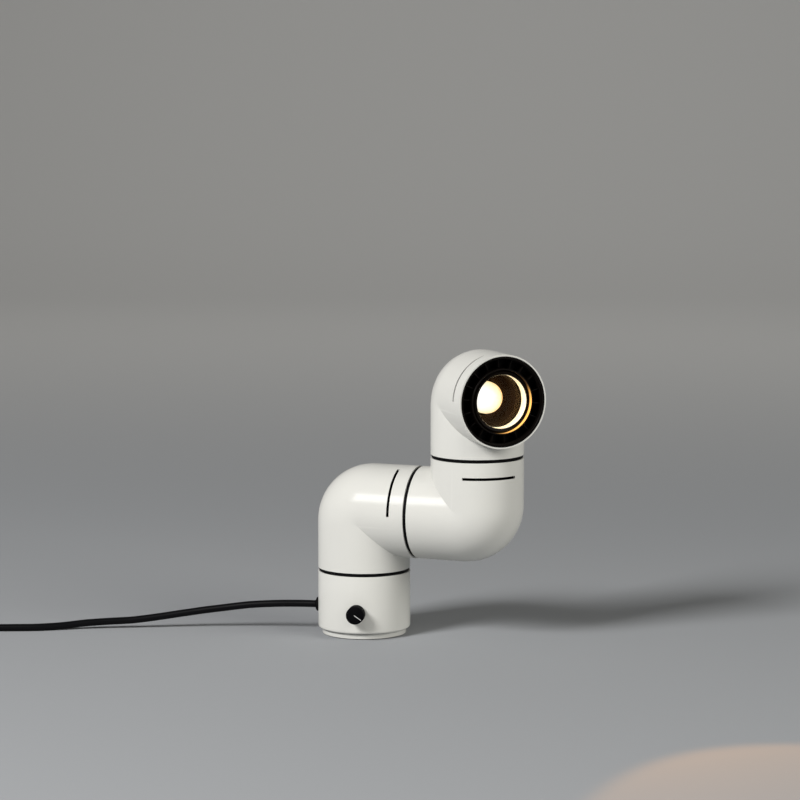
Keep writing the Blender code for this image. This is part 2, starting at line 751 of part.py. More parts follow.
def ballast(finishes, base):
    """The cast iron weight, cut back for the cord's channel, the potentiometer and the screw bosses."""
    weight = rod(
        "ballast_weight", FOOT_RADIUS, BALLAST_BOTTOM, BALLAST_TOP, RING_FACETS, finishes["iron"], base
    )
    above = BALLAST_TOP + CUT_OVERRUN
    outside = -TUBE_RADIUS
    channel = block(
        "cord_channel",
        (outside, -CHANNEL_HALF_WIDTH, CHANNEL_FLOOR),
        (CHANNEL_END, CHANNEL_HALF_WIDTH, above),
        None,
        base,
    )
    combine(weight, channel)
    pot_end = -(POT_FACE - POT_LENGTH - 2 * SEAT_GAP)
    pocket = block(
        "potentiometer_pocket",
        (-POT_POCKET_HALF_WIDTH, outside, CONTROL_HEIGHT - POT_RADIUS - 2 * SEAT_GAP),
        (POT_POCKET_HALF_WIDTH, pot_end, above),
        None,
        base,
    )
    combine(weight, pocket)
    nut_space = rod(
        "gland_nut_space",
        GLAND_NUT_RADIUS + 2 * SEAT_GAP,
        GLAND_NUT_TOP - GLAND_NUT_THICKNESS - SEAT_GAP,
        TUBE_RADIUS,
        16,
        None,
        base,
        at(z=CONTROL_HEIGHT) @ turn_to((-1, 0, 0)),
    )
    combine(weight, nut_space)
    for count, angle in enumerate(BOSS_ANGLES, 1):
        scallop = rod(
            f"boss_scallop_{count}",
            BOSS_RADIUS + 2 * SEAT_GAP,
            BALLAST_BOTTOM - CUT_OVERRUN,
            BALLAST_BOTTOM + BOSS_HEIGHT + 2 * SEAT_GAP,
            16,
            None,
            base,
            at(*boss_place(angle)),
        )
        combine(weight, scallop)
    clamp_hole = rod(
        "clamp_screw_hole",
        SCREW_RADIUS + SEAT_GAP,
        CHANNEL_FLOOR - CLAMP_SCREW_LENGTH,
        CHANNEL_FLOOR + CUT_OVERRUN,
        SCREW_FACETS,
        None,
        base,
        at(x=CLAMP_START + CLAMP_LENGTH / 2, y=CLAMP_SCREW_PLACE),
    )
    combine(weight, clamp_hole)
    for sign, label in ((1, "right"), (-1, "left")):
        here = at(x=sign * BOARD_BOSS_X, y=BOARD_BOSS_Y)
        boss = rod(
            f"board_boss_{label}",
            BOARD_BOSS_RADIUS,
            BALLAST_TOP - CUT_OVERRUN,
            BOARD_BOTTOM - SEAT_GAP,
            16,
            None,
            base,
            here,
        )
        combine(weight, boss, "UNION")
        hole = rod(
            f"board_screw_hole_{label}",
            SCREW_RADIUS + SEAT_GAP,
            BOARD_BOTTOM - BOARD_SCREW_LENGTH,
            BOARD_BOTTOM + CUT_OVERRUN,
            SCREW_FACETS,
            None,
            base,
            here,
        )
        combine(weight, hole)


def dimmer_board(finishes, base):
    """The round circuit board on the ballast's two bosses, with its screws and its larger parts."""
    board = rod("dimmer_board", BOARD_RADIUS, BOARD_BOTTOM, BOARD_TOP, RING_FACETS, finishes["board"], base)
    stand = BOARD_TOP + SEAT_GAP
    for count, sign in enumerate((1, -1), 1):
        here = at(x=sign * BOARD_BOSS_X, y=BOARD_BOSS_Y)
        hole = rod(
            f"board_hole_{count}",
            SCREW_RADIUS + SEAT_GAP,
            BOARD_BOTTOM - CUT_OVERRUN,
            BOARD_TOP + CUT_OVERRUN,
            SCREW_FACETS,
            None,
            base,
            here,
        )
        combine(board, hole)
        down = here @ at(z=stand + SCREW_HEAD_HEIGHT) @ Matrix.Rotation(math.pi, 4, "X")
        screw(f"board_screw_{count}", 0, BOARD_SCREW_LENGTH - SEAT_GAP, finishes["steel"], base, down)
    round_edge = CHOKE_HEIGHT / 4
    turned(
        "dimmer_choke",
        [
            (CHOKE_BORE, stand + round_edge),
            (CHOKE_BORE + round_edge, stand),
            (CHOKE_RADIUS - round_edge, stand),
            (CHOKE_RADIUS, stand + round_edge),
            (CHOKE_RADIUS, stand + CHOKE_HEIGHT - round_edge),
            (CHOKE_RADIUS - round_edge, stand + CHOKE_HEIGHT),
            (CHOKE_BORE + round_edge, stand + CHOKE_HEIGHT),
            (CHOKE_BORE, stand + CHOKE_HEIGHT - round_edge),
        ],
        16,
        finishes["copper"],
        base,
        at(*CHOKE_PLACE),
    )
    for name, size, place, material in (
        ("dimmer_capacitor", CAPACITOR_SIZE, CAPACITOR_PLACE, finishes["capacitor"]),
        ("dimmer_triac", TRIAC_SIZE, TRIAC_PLACE, finishes["black"]),
    ):
        x, y, z = size
        block(name, (-x / 2, -y / 2, stand), (x / 2, y / 2, stand + z), material, base, at(*place))


def potentiometer(finishes, base, knob_body, knob_frame):
    """The dimmer's potentiometer inside the wall, its nut outside, and the shaft and knob that turn in it.
    Heights here are distances from the base's axis, outward."""
    pot_back = POT_FACE - POT_LENGTH
    nut_low = TUBE_RADIUS + SEAT_GAP
    bush_top = nut_low + BUSH_REACH
    turned(
        "potentiometer_body",
        [
            (0, pot_back),
            (POT_RADIUS, pot_back),
            (POT_RADIUS, POT_FACE),
            (BUSH_RADIUS, POT_FACE),
            (BUSH_RADIUS, bush_top),
            (SHAFT_RADIUS + RUNNING_GAP, bush_top),
            (SHAFT_RADIUS + RUNNING_GAP, POT_FACE - POT_BORE_REACH),
            (0, POT_FACE - POT_BORE_REACH),
        ],
        20,
        finishes["steel"],
        base,
        knob_frame,
    )
    nut = prism(
        "potentiometer_nut",
        hexagon(POT_NUT_RADIUS),
        nut_low,
        nut_low + POT_NUT_THICKNESS,
        finishes["steel"],
        base,
        knob_frame,
    )
    thread = rod(
        "potentiometer_thread",
        BUSH_RADIUS + SEAT_GAP,
        nut_low - CUT_OVERRUN,
        bush_top + CUT_OVERRUN,
        16,
        None,
        base,
        knob_frame,
    )
    combine(nut, thread)
    wall_hole = rod(
        "knob_hole",
        BUSH_RADIUS + SEAT_GAP,
        BORE_RADIUS - CUT_OVERRUN,
        TUBE_RADIUS + CUT_OVERRUN,
        16,
        None,
        base,
        knob_frame,
    )
    combine(bpy.data.objects["base_housing"], wall_hole)
    shaft_top = KNOB_BACK + SHAFT_REACH
    shaft_low = POT_FACE - POT_BORE_REACH + SEAT_GAP
    rod("potentiometer_shaft", SHAFT_RADIUS, shaft_low, shaft_top, 20, finishes["steel"], knob_body)
    recess_top = KNOB_BACK + KNOB_RECESS_DEPTH
    knob = turned(
        "dimmer_knob",
        [
            (KNOB_RECESS_RADIUS, KNOB_BACK),
            (KNOB_RADIUS, KNOB_BACK),
            (KNOB_RADIUS, KNOB_FACE - KNOB_CHAMFER),
            (KNOB_RADIUS - KNOB_CHAMFER, KNOB_FACE),
            (0, KNOB_FACE),
            (0, shaft_top + SEAT_GAP),
            (SHAFT_RADIUS + SEAT_GAP, shaft_top + SEAT_GAP),
            (SHAFT_RADIUS + SEAT_GAP, recess_top),
            (KNOB_RECESS_RADIUS, recess_top),
        ],
        RING_FACETS,
        finishes["knob"],
        knob_body,
    )
    upright = Matrix.Rotation(-POINTER_ANGLE, 4, "Z")
    groove_floor = KNOB_FACE - POINTER_DEPTH
    groove = block(
        "pointer_groove",
        (-POINTER_WIDTH / 2 - POINTER_GAP, -POINTER_BACK - POINTER_GAP, groove_floor - POINTER_GAP),
        (POINTER_WIDTH / 2 + POINTER_GAP, KNOB_RADIUS + CUT_OVERRUN, KNOB_FACE + CUT_OVERRUN),
        None,
        knob_body,
        upright,
    )
    combine(knob, groove)
    block(
        "knob_pointer",
        (-POINTER_WIDTH / 2, -POINTER_BACK, groove_floor),
        (POINTER_WIDTH / 2, POINTER_LENGTH - POINTER_BACK, KNOB_FACE),
        finishes["white"],
        knob_body,
        upright,
    )


def cord_entry(finishes, base):
    """The gland in the base's wall, the cord's end inside, its clamp and the terminal block."""
    outward = at(z=CONTROL_HEIGHT) @ turn_to((-1, 0, 0))
    bore = CORD_RADIUS + SEAT_GAP
    seat = TUBE_RADIUS + SEAT_GAP
    thread_end = BORE_RADIUS - GLAND_THREAD_LENGTH
    shoulder = GLAND_NOSE_RADIUS + (GLAND_RADIUS - GLAND_NOSE_RADIUS) * GLAND_SHOULDER_SHARES[0]
    turned(
        "cable_gland",
        [
            (bore, thread_end),
            (GLAND_THREAD_RADIUS, thread_end),
            (GLAND_THREAD_RADIUS, seat),
            (GLAND_RADIUS, seat),
            (shoulder, seat + GLAND_NOSE_LENGTH * GLAND_SHOULDER_SHARES[1]),
            (GLAND_NOSE_RADIUS, GLAND_FACE),
            (bore, GLAND_FACE),
        ],
        20,
        finishes["black"],
        base,
        outward,
    )
    hole = rod(
        "gland_hole",
        GLAND_THREAD_RADIUS + SEAT_GAP,
        BORE_RADIUS - CUT_OVERRUN,
        TUBE_RADIUS + CUT_OVERRUN,
        20,
        None,
        base,
        outward,
    )
    combine(bpy.data.objects["base_housing"], hole)
    nut = prism(
        "gland_nut",
        hexagon(GLAND_NUT_RADIUS),
        GLAND_NUT_TOP - GLAND_NUT_THICKNESS,
        GLAND_NUT_TOP,
        finishes["black"],
        base,
        outward,
    )
    thread = rod(
        "gland_nut_thread",
        GLAND_THREAD_RADIUS + SEAT_GAP,
        GLAND_NUT_TOP - GLAND_NUT_THICKNESS - CUT_OVERRUN,
        GLAND_NUT_TOP + CUT_OVERRUN,
        20,
        None,
        base,
        outward,
    )
    combine(nut, thread)
    block_end = BLOCK_START + BLOCK_SIZE[0]
    lead_end = BLOCK_START - SEAT_GAP
    rod("mains_lead_inside", CORD_RADIUS, -lead_end, GLAND_FACE, 10, finishes["cord"], base, outward)
    floor = CHANNEL_FLOOR + SEAT_GAP
    arch = CORD_RADIUS + SEAT_GAP
    back = arch + CLAMP_WALL
    foot = floor - CONTROL_HEIGHT
    tread = foot + CLAMP_FOOT_THICKNESS
    clamp = prism(
        "cord_clamp",
        [
            (-CLAMP_FOOT_HALF_WIDTH, foot),
            (-arch, foot),
            *arc((0, 0), arch, math.pi, 0, 6),
            (arch, foot),
            (CLAMP_FOOT_HALF_WIDTH, foot),
            (CLAMP_FOOT_HALF_WIDTH, tread),
            (back, tread),
            *arc((0, 0), back, 0, math.pi, 8),
            (-back, tread),
            (-CLAMP_FOOT_HALF_WIDTH, tread),
        ],
        0,
        CLAMP_LENGTH,
        finishes["black"],
        base,
        at(x=CLAMP_START, z=CONTROL_HEIGHT)
        @ Matrix(((0, 0, 1, 0), (1, 0, 0, 0), (0, 1, 0, 0), (0, 0, 0, 1))),
    )
    screw_x = CLAMP_START + CLAMP_LENGTH / 2
    screw_seat = floor + CLAMP_FOOT_THICKNESS + SEAT_GAP
    clamp_hole = rod(
        "clamp_hole",
        SCREW_RADIUS + SEAT_GAP,
        floor - CUT_OVERRUN,
        screw_seat + CUT_OVERRUN,
        SCREW_FACETS,
        None,
        base,
        at(x=screw_x, y=CLAMP_SCREW_PLACE),
    )
    combine(clamp, clamp_hole)
    down = at(screw_x, CLAMP_SCREW_PLACE, screw_seat + SCREW_HEAD_HEIGHT) @ Matrix.Rotation(math.pi, 4, "X")
    screw("clamp_screw", 0, CLAMP_SCREW_LENGTH, finishes["steel"], base, down)
    half = BLOCK_SIZE[1] / 2
    block(
        "terminal_block",
        (BLOCK_START, -half, floor),
        (block_end, half, floor + BLOCK_SIZE[2]),
        finishes["block"],
        base,
    )


def lamp_wire(finishes, bodies):
    """The twin wire from the dimmer to the lamp. It crosses each swivel on the swivel's own axis."""
    seam = BASE_TOP + WIRE_JOINT_PLACE
    sideways = WIRE_RADIUS * 2
    start = BOARD_TOP + SEAT_GAP
    clear = start + WIRE_RADIUS * 2
    rise = seam - clear
    base_route = [
        (0, sideways, start),
        (0, sideways, clear),
        *[(0, sideways * across, clear + rise * along) for across, along in BASE_WIRE_SHARES],
        (0, 0, seam),
    ]
    tube("base_wire", smooth_line(base_route, WIRE_STEP), WIRE_RADIUS, 2, finishes["wire"], bodies["base"])
    turn_start = ELBOW_CORNER - WIRE_BEND
    bend = [Vector((x, 0, z)) for x, z in arc((WIRE_BEND, turn_start), WIRE_BEND, math.pi, math.pi / 2, 6)]
    line = [Vector((0, 0, WIRE_START)), *bend, Vector((LEG_LENGTH + WIRE_JOINT_PLACE, 0, ELBOW_CORNER))]
    tube("arm_wire", line, WIRE_RADIUS, 2, finishes["wire"], bodies["lower_arm"])
    tube("riser_wire", line, WIRE_RADIUS, 2, finishes["wire"], bodies["upper_arm"])
    holder_x = MOUTH_LEG_LENGTH - BULB_NECK_DEPTH - CAP_LENGTH * HEAD_WIRE_ENTRY_SHARE
    holder_z = ELBOW_CORNER - CAP_RADIUS - SEAT_GAP - HOLDER_WALL - SEAT_GAP
    head_route = [
        (0, 0, WIRE_START),
        *[(holder_x * across, 0, holder_z * along) for across, along in HEAD_WIRE_SHARES],
        (holder_x, 0, holder_z - WIRE_RADIUS * 2),
        (holder_x, 0, holder_z),
    ]
    tube("head_wire", smooth_line(head_route, WIRE_STEP), WIRE_RADIUS, 2, finishes["wire"], bodies["head"])


def lamp_unit(finishes, head):
    """What stands in the head's mouth. Heights here are minus the depth behind the mouth."""
    mouth = at(x=MOUTH_LEG_LENGTH, z=ELBOW_CORNER) @ turn_to((1, 0, 0))
    baffle_end = BAFFLE_DEPTH + BAFFLE_LENGTH
    hub_outer = BAFFLE_HUB_RADIUS + BAFFLE_HUB_WALL
    rim_inner = PLUG_IN_RADIUS - BAFFLE_WALL
    baffle = turned(
        "baffle",
        [
            (rim_inner, -baffle_end),
            (PLUG_IN_RADIUS, -baffle_end),
            (PLUG_IN_RADIUS, -BAFFLE_RIM_DEPTH),
            (rim_inner, -BAFFLE_RIM_DEPTH),
        ],
        HEAD_FACETS,
        finishes["black"],
        head,
        mouth,
    )
    hub = turned(
        "baffle_hub",
        [
            (BAFFLE_HUB_RADIUS, -baffle_end),
            (hub_outer, -baffle_end),
            (hub_outer, -BAFFLE_DEPTH),
            (BAFFLE_HUB_RADIUS, -BAFFLE_DEPTH),
        ],
        HEAD_FACETS,
        None,
        head,
        mouth,
    )
    floor = turned(
        "baffle_floor",
        [
            (hub_outer - RIB_LAP, -baffle_end),
            (rim_inner + RIB_LAP, -baffle_end),
            (rim_inner + RIB_LAP, -baffle_end + BAFFLE_FLOOR),
            (hub_outer - RIB_LAP, -baffle_end + BAFFLE_FLOOR),
        ],
        HEAD_FACETS,
        None,
        head,
        mouth,
    )
    combine(hub, floor, "UNION")
    for count in range(RIB_COUNT):
        spoke = Matrix.Rotation(math.tau * (count + RIB_START_SHARE) / RIB_COUNT, 4, "Z")
        rib = block(
            f"baffle_rib_{count + 1}",
            (hub_outer - RIB_LAP, -RIB_THICKNESS / 2, -baffle_end + RIB_LAP),
            (rim_inner + RIB_LAP, RIB_THICKNESS / 2, -RIB_DEPTH),
            None,
            head,
            mouth @ spoke,
        )
        combine(hub, rib, "UNION")
    combine(baffle, hub, "UNION")
    bezel_outer = BAFFLE_HUB_RADIUS - SEAT_GAP
    lens_bore = LENS_RADIUS + SEAT_GAP
    turned(
        "lens_bezel",
        [
            (BEZEL_RIM_RADIUS, -BEZEL_DEPTH),
            (BEZEL_THROAT_RADIUS, -BEZEL_THROAT_DEPTH),
            (BEZEL_THROAT_RADIUS, -BEZEL_THROAT_DEPTH - BEZEL_LIP),
            (lens_bore, -BEZEL_THROAT_DEPTH - BEZEL_LIP),
            (lens_bore, -BEZEL_END_DEPTH),
            (bezel_outer, -BEZEL_END_DEPTH),
            (bezel_outer, -BEZEL_DEPTH),
        ],
        HEAD_FACETS,
        finishes["black"],
        head,
        mouth,
    )
    lens_front = BEZEL_THROAT_DEPTH + BEZEL_LIP + SEAT_GAP
    crown = [
        (LENS_RADIUS * k / LENS_RINGS, LENS_CROWN * (1 - (k / LENS_RINGS) ** 2)) for k in range(LENS_RINGS + 1)
    ]
    lens_edge = -lens_front - LENS_CROWN * (1 - (BEZEL_THROAT_RADIUS / LENS_RADIUS) ** 2)
    lens_back = lens_edge - LENS_EDGE
    turned(
        "glass_lens",
        [*[(radius, lens_edge + lift) for radius, lift in crown], (LENS_RADIUS, lens_back), (0, lens_back)],
        HEAD_FACETS,
        finishes["glass"],
        head,
        mouth,
    )
    tube_front = lens_back - SEAT_GAP
    tube_outer = BEZEL_THROAT_RADIUS + REFLECTOR_WALL
    hole = BULB_RADIUS + BULB_HOLE_GAP
    turned(
        "reflector_tube",
        [
            (BEZEL_THROAT_RADIUS, tube_front),
            (BEZEL_THROAT_RADIUS, -REFLECTOR_END_DEPTH + REFLECTOR_WALL),
            (hole, -REFLECTOR_END_DEPTH + REFLECTOR_WALL),
            (hole, -REFLECTOR_END_DEPTH),
            (tube_outer, -REFLECTOR_END_DEPTH),
            (tube_outer, tube_front - REFLECTOR_FLANGE),
            (LENS_RADIUS, tube_front - REFLECTOR_FLANGE),
            (LENS_RADIUS, tube_front),
        ],
        HEAD_FACETS,
        finishes["reflector"],
        head,
        mouth,
    )
    dome = arc((0, -BULB_DEPTH - BULB_RADIUS), BULB_RADIUS, math.pi / 2, 0, 5)
    turned(
        "lamp_bulb",
        [
            (0, -BULB_DEPTH),
            *dome[1:],
            (BULB_RADIUS, -BULB_SHOULDER_DEPTH),
            (CAP_RADIUS, -BULB_NECK_DEPTH),
            (0, -BULB_NECK_DEPTH),
        ],
        20,
        finishes["bulb"],
        head,
        mouth,
    )
    cap_top = -BULB_NECK_DEPTH - SEAT_GAP
    cap_end = cap_top - CAP_LENGTH
    cap_tip = cap_end + CAP_RADIUS / 2
    turned(
        "bulb_cap",
        [(0, cap_top), (CAP_RADIUS, cap_top), (CAP_RADIUS, cap_tip), (CAP_RADIUS / 2, cap_end), (0, cap_end)],
        16,
        finishes["brass"],
        head,
        mouth,
    )
    holder_bore = CAP_RADIUS + SEAT_GAP
    holder_outer = holder_bore + HOLDER_WALL
    holder_front = cap_top - SEAT_GAP
    holder_end = cap_end - SEAT_GAP - HOLDER_BACK
    turned(
        "lamp_holder",
        [
            (holder_bore, holder_front),
            (holder_bore, cap_end - SEAT_GAP),
            (0, cap_end - SEAT_GAP),
            (0, holder_end),
            (holder_outer, holder_end),
            (holder_outer, holder_front),
        ],
        16,
        finishes["block"],
        head,
        mouth,
    )
    foot_low = -REFLECTOR_END_DEPTH - SEAT_GAP
    outer_side = BULB_RADIUS + BRACKET_SPACE
    holder_side = holder_outer + SEAT_GAP
    bend, bend_end = -BRACKET_BEND_DEPTH, -BRACKET_BEND_DEPTH - BRACKET_BEND_LENGTH
    bracket_end = -BRACKET_END_DEPTH
    prism(
        "holder_bracket",
        [
            (outer_side, foot_low),
            (outer_side, bend),
            (holder_side, bend_end),
            (holder_side, bracket_end),
            (holder_side + BRACKET_THICKNESS, bracket_end),
            (holder_side + BRACKET_THICKNESS, bend_end),
            (outer_side + BRACKET_THICKNESS, bend),
            (outer_side + BRACKET_THICKNESS, foot_low - BRACKET_THICKNESS),
            (outer_side + BRACKET_FOOT, foot_low - BRACKET_THICKNESS),
            (outer_side + BRACKET_FOOT, foot_low),
        ],
        -BRACKET_WIDTH / 2,
        BRACKET_WIDTH / 2,
        finishes["steel"],
        head,
        mouth @ Matrix(((1, 0, 0, 0), (0, 0, -1, 0), (0, 1, 0, 0), (0, 0, 0, 1))),
    )


def coil_line():
    """The put-away coil's centreline: two layers, one spiralling in on the table and the other out on top of
    it, with the climb in the half turn where the spiral reverses. Then its place and heading at the end."""
    heading = Vector((math.cos(COIL_HEADING), math.sin(COIL_HEADING), 0))
    inward = Vector((heading.y, -heading.x, 0))
    start = Vector(RUN_ROUTE[-1]) + heading * (SEAT_GAP + LEAD_IN)
    start.z = COIL_BOTTOM
    centre = start + inward * COIL_OUTER_RADIUS
    half_way = COIL_TURNS / COIL_LAYERS
    line = [start - heading * LEAD_IN]
    steps = round(COIL_TURNS * COIL_POINTS_A_TURN)
    for step in range(steps + 1):
        turns = step / COIL_POINTS_A_TURN
        radius = COIL_INNER_RADIUS + COIL_PITCH * abs(turns - half_way)
        climb = min(1, max(0, (turns - half_way) * 2 + 0.5))
        angle = math.tau * turns
        spoke = heading * math.sin(angle) - inward * math.cos(angle)
        lift = Vector((0, 0, COIL_PITCH * climb * climb * (3 - 2 * climb)))
        line.append(centre + spoke * radius + lift)
    away = (heading * math.cos(angle) + inward * math.sin(angle)).normalized()
    line.append(line[-1] + away * LEAD_IN)
    return line, centre, inward, away


def least_gap(line):
    """The least space between one turn of the coil and another, measured between points of its centreline."""
    fine = [a.lerp(b, part / 4) for a, b in zip(line, line[1:]) for part in range(4)]
    apart = COIL_POINTS_A_TURN * 2
    gaps = [(a - b).length for k, a in enumerate(fine) for b in fine[k + apart :]]
    return min(gaps) - 2 * CORD_RADIUS


def mains_cord(finishes, base):
    """The cord's run over the table, its coil with the tie round it, its tail and the plug."""
    run = smooth_line(RUN_ROUTE, CORD_STEP)
    coil, centre, inward, away = coil_line()
    run[-1].z = COIL_BOTTOM
    tube("cord_run", run, CORD_RADIUS, 2, finishes["cord"], base)
    tube("cord_coil", coil, CORD_RADIUS, 1, finishes["cord"], base)
    plug_height = PLUG_THICKNESS / 2
    side = Vector((-away.y, away.x, 0))
    begin = coil[-1] + away * SEAT_GAP
    finish_at = begin + away * TAIL_LENGTH + side * TAIL_SWAY
    finish_at.z = plug_height
    tail_route = [
        begin,
        begin + away * LEAD_IN,
        begin.lerp(finish_at, TAIL_MIDDLE_SHARE),
        finish_at - away * LEAD_IN,
        finish_at,
    ]
    tail = smooth_line(tail_route, CORD_STEP)
    tube("cord_tail", tail, CORD_RADIUS, 2, finishes["cord"], base)
    print(f"cord: {line_length(run) + line_length(coil) + line_length(tail):.4f} m in all")
    print(f"cord: {line_length(run):.4f} m run, {line_length(coil):.4f} m coil, {line_length(tail):.4f} m tail")
    print(f"coil: least gap to itself {least_gap(coil) * 1000:.2f} mm")
    tie(finishes, base, centre, inward)
    plug(finishes, base, finish_at + away * SEAT_GAP, away)


def tie(finishes, base, centre, inward):
    """A strap round the coil's turns, on the side away from its ends."""
    low, high = TIE_THICKNESS, COIL_BOTTOM + COIL_PITCH + CORD_RADIUS + TIE_GAP
    near = COIL_INNER_RADIUS - CORD_RADIUS - TIE_GAP
    far = COIL_OUTER_RADIUS + CORD_RADIUS + TIE_GAP
    corner = CORD_RADIUS + TIE_GAP
    frame = Matrix.Translation((centre.x, centre.y, 0)) @ Matrix.Rotation(
        math.atan2(inward.y, inward.x), 4, "Z"
    )
    strap = prism(
        "cord_tie",
        rounded(near - TIE_THICKNESS, low - TIE_THICKNESS, far + TIE_THICKNESS, high + TIE_THICKNESS, corner),
        -TIE_WIDTH / 2,
        TIE_WIDTH / 2,
        finishes["black"],
        base,
        frame @ Matrix(((1, 0, 0, 0), (0, 0, -1, 0), (0, 1, 0, 0), (0, 0, 0, 1))),
    )
    inside = prism(
        "tie_inside",
        rounded(near, low, far, high, corner - TIE_THICKNESS),
        -TIE_WIDTH,
        TIE_WIDTH,
        None,
        base,
        strap.matrix_basis,
    )
    combine(strap, inside)


def rounded(left, low, right, high, radius):
    """The outline of a rectangle with round corners."""
    quarter = math.pi / 2
    return [
        *arc((right - radius, low + radius), radius, -quarter, 0, 2),
        *arc((right - radius, high - radius), radius, 0, quarter, 2),
        *arc((left + radius, high - radius), radius, quarter, 2 * quarter, 2),
        *arc((left + radius, low + radius), radius, 2 * quarter, 3 * quarter, 2),
    ]


def plug(finishes, base, tip, away):
    """The flat plug, from the tip of its tapered boot on. Its X runs away from the cord."""
    frame = Matrix.Translation((tip.x, tip.y, PLUG_THICKNESS / 2)) @ Matrix.Rotation(
        math.atan2(away.y, away.x), 4, "Z"
    )
    back = BOOT_LENGTH
    shoulder = back + PLUG_SHOULDER_LENGTH
    front = back + PLUG_LENGTH
    half, waist = PLUG_WIDTH / 2, PLUG_WAIST / 2
    face = PIN_SPACING / 2 + PIN_RADIUS * 2
    outline = [(back, -waist), (front, -face), (front, face), (back, waist)]
    outline[1:1] = [(shoulder, -half), (front - (half - face), -half)]
    outline[-1:-1] = [(front - (half - face), half), (shoulder, half)]
    body = prism("plug_body", outline, -PLUG_THICKNESS / 2, PLUG_THICKNESS / 2, finishes["black"], base, frame)
    edges = body.modifiers.new("soft_edges", "BEVEL")
    edges.width = PLUG_BEVEL
    edges.segments = 2
    edges.limit_method = "ANGLE"
    edges.angle_limit = math.radians(60)
    along = frame @ turn_to((1, 0, 0))
    boot = turned(
        "plug_boot",
        [(0, 0), (BOOT_TIP_RADIUS, 0), (BOOT_RADIUS, back + BOOT_LAP), (0, back + BOOT_LAP)],
        16,
        None,
        base,
        along,
    )
    combine(body, boot, "UNION")
    seat = front - PIN_SEAT
    for sign, label in ((1, "left"), (-1, "right")):
        hole = rod(
            f"pin_hole_{label}",
            PIN_RADIUS + SEAT_GAP,
            seat,
            front + CUT_OVERRUN,
            SCREW_FACETS,
            None,
            base,
            along @ at(x=sign * PIN_SPACING / 2),
        )
        combine(body, hole)
    reach = PIN_SPACING / 2 + PIN_BRIDGE_RADIUS
    cavity = block(
        "bridge_cavity",
        (seat - PIN_BRIDGE - SEAT_GAP, -reach - SEAT_GAP, -PIN_BRIDGE_RADIUS - SEAT_GAP),
        (seat + SEAT_GAP, reach + SEAT_GAP, PIN_BRIDGE_RADIUS + SEAT_GAP),
        None,
        base,
        frame,
    )
    combine(body, cavity)
    pins = block(
        "plug_pins",
        (seat - PIN_BRIDGE, -reach, -PIN_BRIDGE_RADIUS),
        (seat, reach, PIN_BRIDGE_RADIUS),
        finishes["brass"],
        base,
        frame,
    )
    for sign, label in ((1, "left"), (-1, "right")):
        pin = rod(
            f"pin_{label}",
            PIN_RADIUS,
            seat - PIN_BRIDGE / 2,
            front + PIN_LENGTH,
            SCREW_FACETS,
            None,
            base,
            along @ at(x=sign * PIN_SPACING / 2),
        )
        combine(pins, pin, "UNION")


def main():
    clear_scene()
    finishes = {
        "white": finish("white_plastic", (0.80, 0.80, 0.77), 0.35),
        "black": finish("black_plastic", (0.012, 0.012, 0.013), 0.5),
        "knob": finish("knob_black", (0.010, 0.010, 0.011), 0.4),
        "rubber": finish("pad_rubber", (0.02, 0.02, 0.02), 0.8),
        "iron": finish("cast_iron", (0.10, 0.10, 0.11), 0.7, metallic=0.8),
        "steel": finish("plated_steel", (0.60, 0.60, 0.62), 0.3, metallic=1.0),
        "brass": finish("nickel_brass", (0.75, 0.68, 0.50), 0.3, metallic=1.0),
        "copper": finish("copper_winding", (0.55, 0.24, 0.10), 0.4, metallic=0.6),
        "capacitor": finish("capacitor_yellow", (0.70, 0.55, 0.10), 0.5),
        "board": finish("circuit_board", (0.06, 0.22, 0.10), 0.5),
        "block": finish("ivory_thermoset", (0.70, 0.67, 0.58), 0.5),
        "wire": finish("wire_sleeve", (0.65, 0.64, 0.60), 0.5),
        "cord": finish("cord_sheath", (0.012, 0.012, 0.013), 0.45),
        "reflector": finish("gloss_black", (0.010, 0.009, 0.008), 0.12),
        "glass": finish("clear_glass", (0.95, 0.96, 0.96), 0.02, transmission=1.0),
        "bulb": finish("opal_bulb", (1.0, 0.72, 0.40), 0.3, glow=4.0),
    }
    bodies, frames = add_bodies()
    base = bodies["base"]
    base_shell(finishes, base)
    ballast(finishes, base)
    dimmer_board(finishes, base)
    potentiometer(finishes, base, bodies["dimmer_knob"], frames["dimmer_knob"])
    cord_entry(finishes, base)
    elbow("lower_elbow", LEG_LENGTH, finishes["white"], bodies["lower_arm"])
    elbow("middle_elbow", LEG_LENGTH, finishes["white"], bodies["upper_arm"])
    elbow("head_elbow", MOUTH_LEG_LENGTH, finishes["white"], bodies["head"])
    for prefix, travel, carrier, carried in (
        ("base", TURN_TRAVEL, "base", "lower_arm"),
        ("middle", TILT_TRAVEL, "lower_arm", "upper_arm"),
        ("head", TURN_TRAVEL, "upper_arm", "head"),
    ):
        place = frames[carrier].inverted() @ frames[carried]
        swivel(prefix, travel, finishes, bodies[carrier], bodies[carried], place)
    lamp_wire(finishes, bodies)
    lamp_unit(finishes, bodies["head"])
    mains_cord(finishes, base)


main()
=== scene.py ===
"""Looks for a table lamp of bent tubes: its moulded shells, swivel rings, dimmer knob, light unit and mains
cord, and the studio that it stands in. It is laid out as an add-on and run as a script."""

import json
import math

import bmesh
import bpy
from bpy.props import FloatProperty, FloatVectorProperty, IntProperty, PointerProperty
from mathutils import Matrix, Vector

